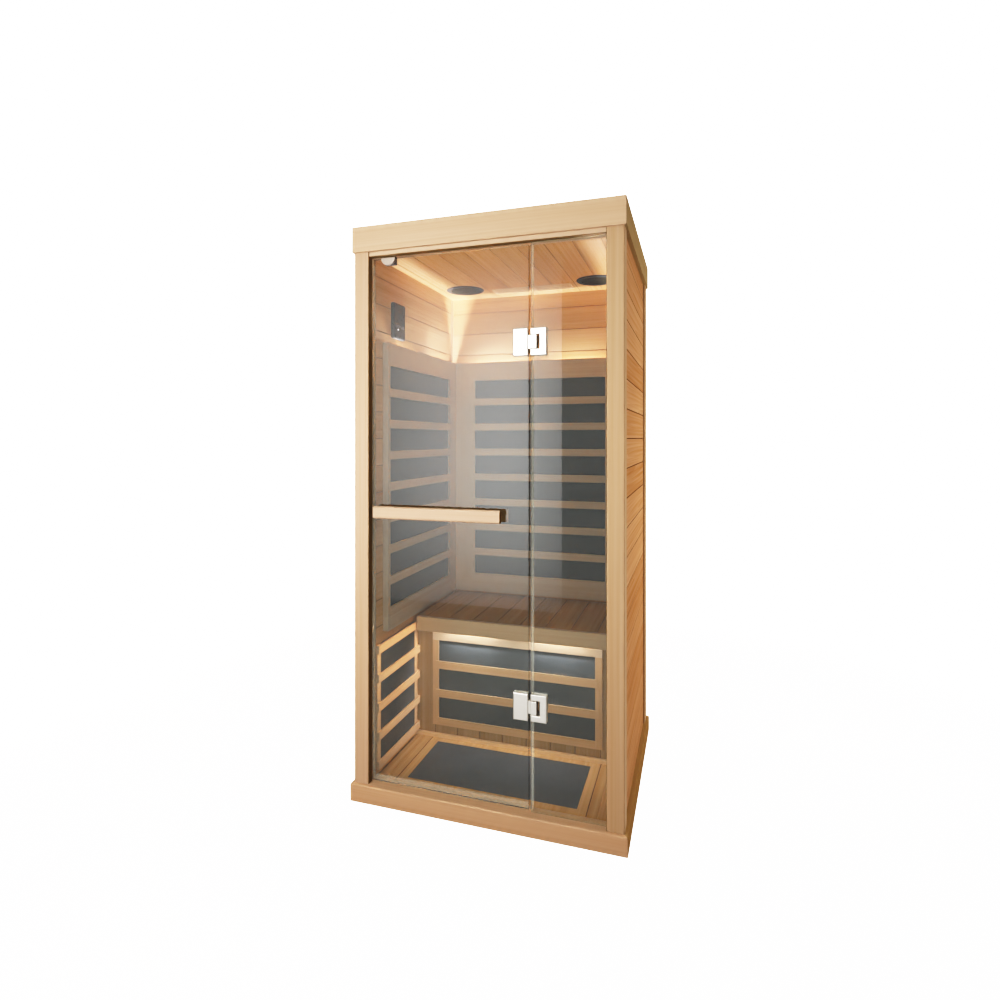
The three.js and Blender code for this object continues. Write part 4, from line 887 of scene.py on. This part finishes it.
def perforated(radius, pitch, hole):
    """A domed disc of hexagonal cells, each with a hole."""
    mesh = bmesh.new()
    rows = math.ceil(radius / pitch)
    for row in range(-2 * rows, 2 * rows + 1):
        for column in range(-rows, rows + 1):
            cx = (column + row % 2 / 2) * pitch
            cy = row * pitch * math.sqrt(3) / 2
            if math.hypot(cx, cy) > radius - FLANGE_WIDTH / 2:
                continue
            rim, lip = [], []
            for k in range(6):
                c, s = math.cos(math.pi * (k + 0.5) / 3), math.sin(math.pi * (k + 0.5) / 3)
                rim.append(mesh.verts.new((cx + pitch / math.sqrt(3) * c, cy + pitch / math.sqrt(3) * s, 0)))
                lip.append(mesh.verts.new((cx + hole * c, cy + hole * s, 0)))
            for k in range(6):
                mesh.faces.new((rim[k], rim[(k + 1) % 6], lip[(k + 1) % 6], lip[k]))
    bmesh.ops.remove_doubles(mesh, verts=mesh.verts, dist=0.01)
    for vert in mesh.verts:
        vert.co.z = GRILLE_DOME * (1 - vert.co.xy.length_squared / radius ** 2)
    return mesh


for side in ("left", "right"):
    low, high = box_mm("speaker_" + side)
    seat = Vector(((low.x + high.x) / 2, (low.y + high.y) / 2, low.z + 1.4))
    sheet = piece(f"speaker_grille_{side}", perforated(GRILLE_RADIUS, HOLE_PITCH, HOLE_RADIUS),
                  facing(seat, (0, 0, -1), Y), mesh_coat, "cabin", "dark_plastic")
    thick = sheet.modifiers.new("sheet_steel", "SOLIDIFY")
    thick.thickness = GRILLE_SHEET * MM
    thick.offset = 0.0
    inner = GRILLE_RADIUS - FLANGE_WIDTH
    flange = [(inner, 0.4), (inner, 1.2), (GRILLE_RADIUS, 0.8), (GRILLE_RADIUS, -0.4)]
    piece(f"speaker_flange_{side}", turned(flange, 64, True), facing(seat, (0, 0, -1), Y), abs_dark, "cabin",
          "dark_plastic", 0.2)
print("speakers: perforated grilles with", HOLE_PITCH, "mm pitch")

# %% [markdown]
# ## Control panel
# A touch panel: a smoked glass face on a plastic body, with a dark display window, a row of plain touch rings and
# one white light that says it is on. It carries no lettering.

# %% Control panel
FACE_MARGIN = 4.0
FACE_CORNER = 2.5
FACE_THICKNESS = 1.6
LED_RADIUS = 2.6
TOUCH_RINGS = 4
TOUCH_PITCH = 19.0

smoked = grained("smoked_acrylic_polished", 30.0, "#332E26", "#29251E", (0.12, 0.2), 0.02, IOR=1.49,
                Specular_IOR_Level=0.2)
led_glow = grained("led_diffuser_moulded", 1.0, "#FFFFFF", "#F2F2F2", (0.3, 0.4), 0.02,
                   Emission_Color=linear("#FFFFFF"), Emission_Strength=4.0)
low, high = box_mm("control_panel")
size_y, size_z = high.y - low.y, high.z - low.z
middle = Vector((high.x, (low.y + high.y) / 2, (low.z + high.z) / 2))
outward = (1, 0, 0)
piece("control_panel_face", drawn(rounded(size_y - 2 * FACE_MARGIN, size_z - 2 * FACE_MARGIN, FACE_CORNER),
                                  FACE_THICKNESS), facing(middle, outward), smoked, "cabin", "dark_plastic", 0.5)
on_face = middle + Vector((FACE_THICKNESS, 0, 0))
piece("control_panel_display", drawn(rounded(64, 40, 4), 0.5), facing(on_face + Vector((0, 0, 26)), outward), smoked,
      "cabin", "dark_plastic", 0.2)
for k in range(TOUCH_RINGS):
    at = on_face + Vector((0, (k - (TOUCH_RINGS - 1) / 2) * TOUCH_PITCH, -20))
    ring = [(5.2, 0), (5.2, 0.4), (6.4, 0.4), (6.4, 0)]
    piece(f"control_panel_touch_ring_{k + 1}", turned(ring, 28, True), facing(at, outward), aluminium, "cabin",
          "dark_plastic")
dome = [(0, 1.6), (1.4, 1.3), (2.3, 0.7), (LED_RADIUS, 0), (0, 0)]
piece("control_panel_led", turned(dome, 20), facing(on_face + Vector((0, -14.6, -32.3)), outward), led_glow, "cabin",
      "lamp_lens")
print("control panel:", round(size_y), "by", round(size_z), "mm face, with", TOUCH_RINGS, "touch rings")

# %% [markdown]
# ## Handle fittings
# Nickel sleeves cover the handle's bosses between the wood and the glass, and a clear washer keeps metal off glass.

# %% Handle fittings
BOSS_INSET = 60.0
BOSS_RADIUS = 9.0
SLEEVE_WALL = 1.2
WASHER_RADIUS = 13.0
WASHER_THICKNESS = 1.2

glass_low, glass_high = box_mm("door_glass")
low, high = box_mm("handle_outer")
for side, glass_face, way in (("outer", glass_low.y, -1), ("inner", glass_high.y, 1)):
    for k, x in enumerate((low.x + BOSS_INSET, high.x - BOSS_INSET)):
        at = Vector((x, glass_face, (low.z + high.z) / 2))
        inner, outer = BOSS_RADIUS + 0.1, BOSS_RADIUS + SLEEVE_WALL
        washer = [(inner, 0), (inner, WASHER_THICKNESS), (WASHER_RADIUS, WASHER_THICKNESS), (WASHER_RADIUS, 0)]
        piece(f"handle_{side}_washer_{k + 1}", turned(washer, 40, True), facing(at, (0, way, 0)), vinyl, "door",
              "clear_seal", 0.3)
        sleeve = [(inner, WASHER_THICKNESS), (inner, 17.6), (outer, 17.6), (outer, WASHER_THICKNESS)]
        piece(f"handle_{side}_sleeve_{k + 1}", turned(sleeve, 40, True), facing(at, (0, way, 0)), nickel, "door",
              "satin_nickel", 0.3)
print("handle: sleeves and washers on four bosses")

# %% [markdown]
# ## Hinge screws
# Each hinge leaf is two plates clamped over the glass by two countersunk screws, driven from inside the cabin. The
# heads stand a little proud, with a round socket.

# %% Hinge screws
SCREW_HEAD = [(0, 0.3), (1.8, 0.3), (2.0, 1.3), (3.6, 1.2), (4.2, 0.7), (4.4, -0.2), (0, -0.2)]
SCREW_FROM_EDGE = 16.0
# Painted shade: the plate below is a dark sheet behind the window of each fixed leaf, standing for the shadow inside
# the window.
SHADE_PLATE_SIZE = (11.0, 46.0)
SHADE_PLATE_THICKNESS = 1.4
SHADE_PLATE_FROM_PIN_SIDE = 22.0


def screws(leaf, body, away):
    """Two screw heads on the inner face of a hinge leaf; away is the side of the pin that the leaf lies on."""
    low, high = box_mm(leaf)
    x = low.x + SCREW_FROM_EDGE if away < 0 else high.x - SCREW_FROM_EDGE
    for k, z in enumerate((low.z + SCREW_FROM_EDGE, high.z - SCREW_FROM_EDGE)):
        piece(f"{leaf}_screw_{k + 1}", turned(SCREW_HEAD, 24), facing((x, high.y, z), (0, 1, 0)), nickel, body,
              "satin_nickel")


# Painted shade: each fixed leaf gets a dark plate behind its window, a dark sheet that stands for the shadow there.
for height in ("upper", "lower"):
    screws(f"{height}_hinge_door_leaf", "door", -1)
    screws(f"{height}_hinge_fixed_leaf", "cabin", 1)
    low, high = box_mm(f"{height}_hinge_fixed_leaf")
    at = Vector((low.x + SHADE_PLATE_FROM_PIN_SIDE + SHADE_PLATE_SIZE[0] / 2, high.y, (low.z + high.z) / 2))
    piece(f"{height}_hinge_window_cover", drawn(rounded(*SHADE_PLATE_SIZE, 1.5, 3), SHADE_PLATE_THICKNESS), facing(at, (0, 1, 0)),
          abs_dark, "cabin", "dark_plastic", 0.3)
print("hinge screws: 8, window shade plates: 2")

# %% [markdown]
# ## Seal in the hinge gap
# A clear channel grips the edge of the fixed pane beside the door, and a thin fin reaches towards the door. It is
# cut away at the hinges, so it is three lengths. It stays inside the circle that the door's edge swings on.

# %% Gap seal
CHANNEL_WALL = 1.1
CHANNEL_GRIP = 9.0
FIN_REACH = 5.0

pane_low, pane_high = box_mm("fixed_glass")
edge_x, mid_y = pane_low.x, (pane_low.y + pane_high.y) / 2
half = (pane_high.y - pane_low.y) / 2 + 0.1
out = half + CHANNEL_WALL
channel = [(CHANNEL_GRIP, half), (0.0, half), (0.0, -half), (CHANNEL_GRIP, -half), (CHANNEL_GRIP, -out),
           (-CHANNEL_WALL, -out), (-CHANNEL_WALL, -0.7), (-FIN_REACH, -0.5), (-FIN_REACH, 0.5), (-CHANNEL_WALL, 0.7),
           (-CHANNEL_WALL, out), (CHANNEL_GRIP, out)]
stops = [glass_low.z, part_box("lower_hinge_door_leaf")[0].z / MM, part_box("lower_hinge_door_leaf")[1].z / MM,
         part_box("upper_hinge_door_leaf")[0].z / MM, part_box("upper_hinge_door_leaf")[1].z / MM, glass_high.z]
for k, (start, end) in enumerate(zip(stops[::2], stops[1::2])):
    stand = Matrix.Scale(MM, 4) @ Matrix.Translation((edge_x, mid_y, start + 1))
    strip = piece(f"hinge_gap_seal_{k + 1}", drawn(channel, end - start - 2), stand, vinyl, "cabin", "clear_seal")
    strip.visible_shadow = False
print("gap seal: three lengths")

# %% [markdown]
# ## Power unit details
# The steel box on the roof has pressed louvres that let its heat out, four cover screws, and a mains inlet with a
# frame and three blades in the recess. Only the inlet is made: no lead is plugged in.

# %% Power unit details
LOUVRES = 8
LOUVRE_PITCH = 22.0
LOUVRE_LENGTH = 70.0
LOUVRE_RISE = 4.0
LOUVRE_WIDTH = 11.0

low, high = box_mm("power_unit")
centre = (low + high) / 2
hood = [(0, 0), (LOUVRE_WIDTH, 0), (LOUVRE_WIDTH * 0.9, LOUVRE_RISE * 0.7), (LOUVRE_WIDTH * 0.55, LOUVRE_RISE),
        (LOUVRE_WIDTH * 0.2, LOUVRE_RISE * 0.8)]
for k in range(LOUVRES):
    x = centre.x + (k - (LOUVRES - 1) / 2) * LOUVRE_PITCH
    for row, y in enumerate((centre.y - 50, centre.y + 50)):
        stand = Matrix.Scale(MM, 4) @ Matrix.Translation((x, y + LOUVRE_LENGTH / 2, high.z)) @ Matrix.Rotation(
            math.pi / 2, 4, "X")
        top.objects.link(piece(f"power_unit_louvre_{row + 1}_{k + 1}", drawn(hood, LOUVRE_LENGTH), stand, powder, "cabin",
                               "powder_coat", 0.8))
for k, (sx, sy) in enumerate(((-1, -1), (1, -1), (1, 1), (-1, 1))):
    at = Vector((centre.x + sx * 145, centre.y + sy * 96, high.z))
    piece(f"power_unit_screw_{k + 1}", turned(SCREW_HEAD, 24), facing(at, (0, 0, 1), Y), nickel, "cabin", "satin_nickel")
inlet = Vector((centre.x, high.y, 1995.0))
for k, (x, z) in enumerate(((-6.5, 2.5), (6.5, 2.5), (0, -4.0))):
    at = inlet + Vector((x, -17.8, z))
    piece(f"mains_inlet_blade_{k + 1}", drawn(rounded(2.0, 4.4, 0.8, 2), 12.0), facing(at, (0, 1, 0)), nickel, "cabin",
          "satin_nickel", 0.3)
print("power unit:", 2 * LOUVRES, "louvres, 4 screws, 3 inlet blades")

# %% [markdown]
# ## Vent blades and grates
# Four slots in the ceiling strip let warm air out through the roof. Two thin wooden blades lie in each, and a pale
# slotted board covers each pair of slots from below.

# %% Vent blades
VENT_COUNT = 4
VENT_PITCH = 90.0
VENT_LENGTH = 66.0
VENT_Y = 267.0
BLADES = 2
BLADE_STEP = 5.0
GRATE_SIZE = (85.0, 170.0)
GRATE_RIM = 9.0
GRATE_SLOTS = 3
GRATE_THICKNESS = 3.0

vent_wood = hemlock("hemlock_vent_blades", X, *LINING)
blade = [(-0.8, 0.0), (0.8, 0.0), (3.4, 9.0), (1.8, 9.0)]
for k in range(VENT_COUNT):
    for b in range(BLADES):
        x = (k - (VENT_COUNT - 1) / 2) * VENT_PITCH - VENT_LENGTH / 2
        y = VENT_Y + (b - (BLADES - 1) / 2) * BLADE_STEP - 1.3
        turn = Matrix(((0, 0, 1), (1, 0, 0), (0, 1, 0))).to_4x4()
        stand = Matrix.Scale(MM, 4) @ Matrix.Translation((x, y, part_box("ceiling_panel")[0].z / MM + 2)) @ turn
        piece(f"vent_blade_{k + 1}_{b + 1}", drawn(blade, VENT_LENGTH), stand, vent_wood, "cabin", "warm_wood", 0.3)


def grate(size, rim, slots):
    """A flat sheet about its middle with a row of slots between bars of equal width."""
    step = (size[0] - 2 * rim) / (2 * slots - 1)
    across = [-size[0] / 2] + [rim - size[0] / 2 + k * step for k in range(2 * slots)] + [size[0] / 2]
    along = [-size[1] / 2, rim - size[1] / 2, size[1] / 2 - rim, size[1] / 2]
    mesh = bmesh.new()
    grid = [[mesh.verts.new((x, y, 0)) for x in across] for y in along]
    for row, (near, far) in enumerate(zip(grid, grid[1:])):
        for k in range(len(across) - 1):
            if row != 1 or k % 2 == 0:
                mesh.faces.new((near[k], near[k + 1], far[k + 1], far[k]))
    return mesh


grate_wood = hemlock("hemlock_vent_grate", X, *PALE)
for side, way in (("left", -1), ("right", 1)):
    seat = Vector((way * VENT_PITCH, VENT_Y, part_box("ceiling_panel")[0].z / MM - GRATE_THICKNESS / 2))
    board = piece(f"vent_grate_{side}", grate(GRATE_SIZE, GRATE_RIM, GRATE_SLOTS), facing(seat, (0, 0, -1), X),
                  grate_wood, "cabin", "pale_wood")
    ceiling.objects.link(board)
    thick = board.modifiers.new("board", "SOLIDIFY")
    thick.thickness = GRATE_THICKNESS * MM
    thick.offset = 0.0
print("vents:", VENT_COUNT * BLADES, "blades, 2 grates")
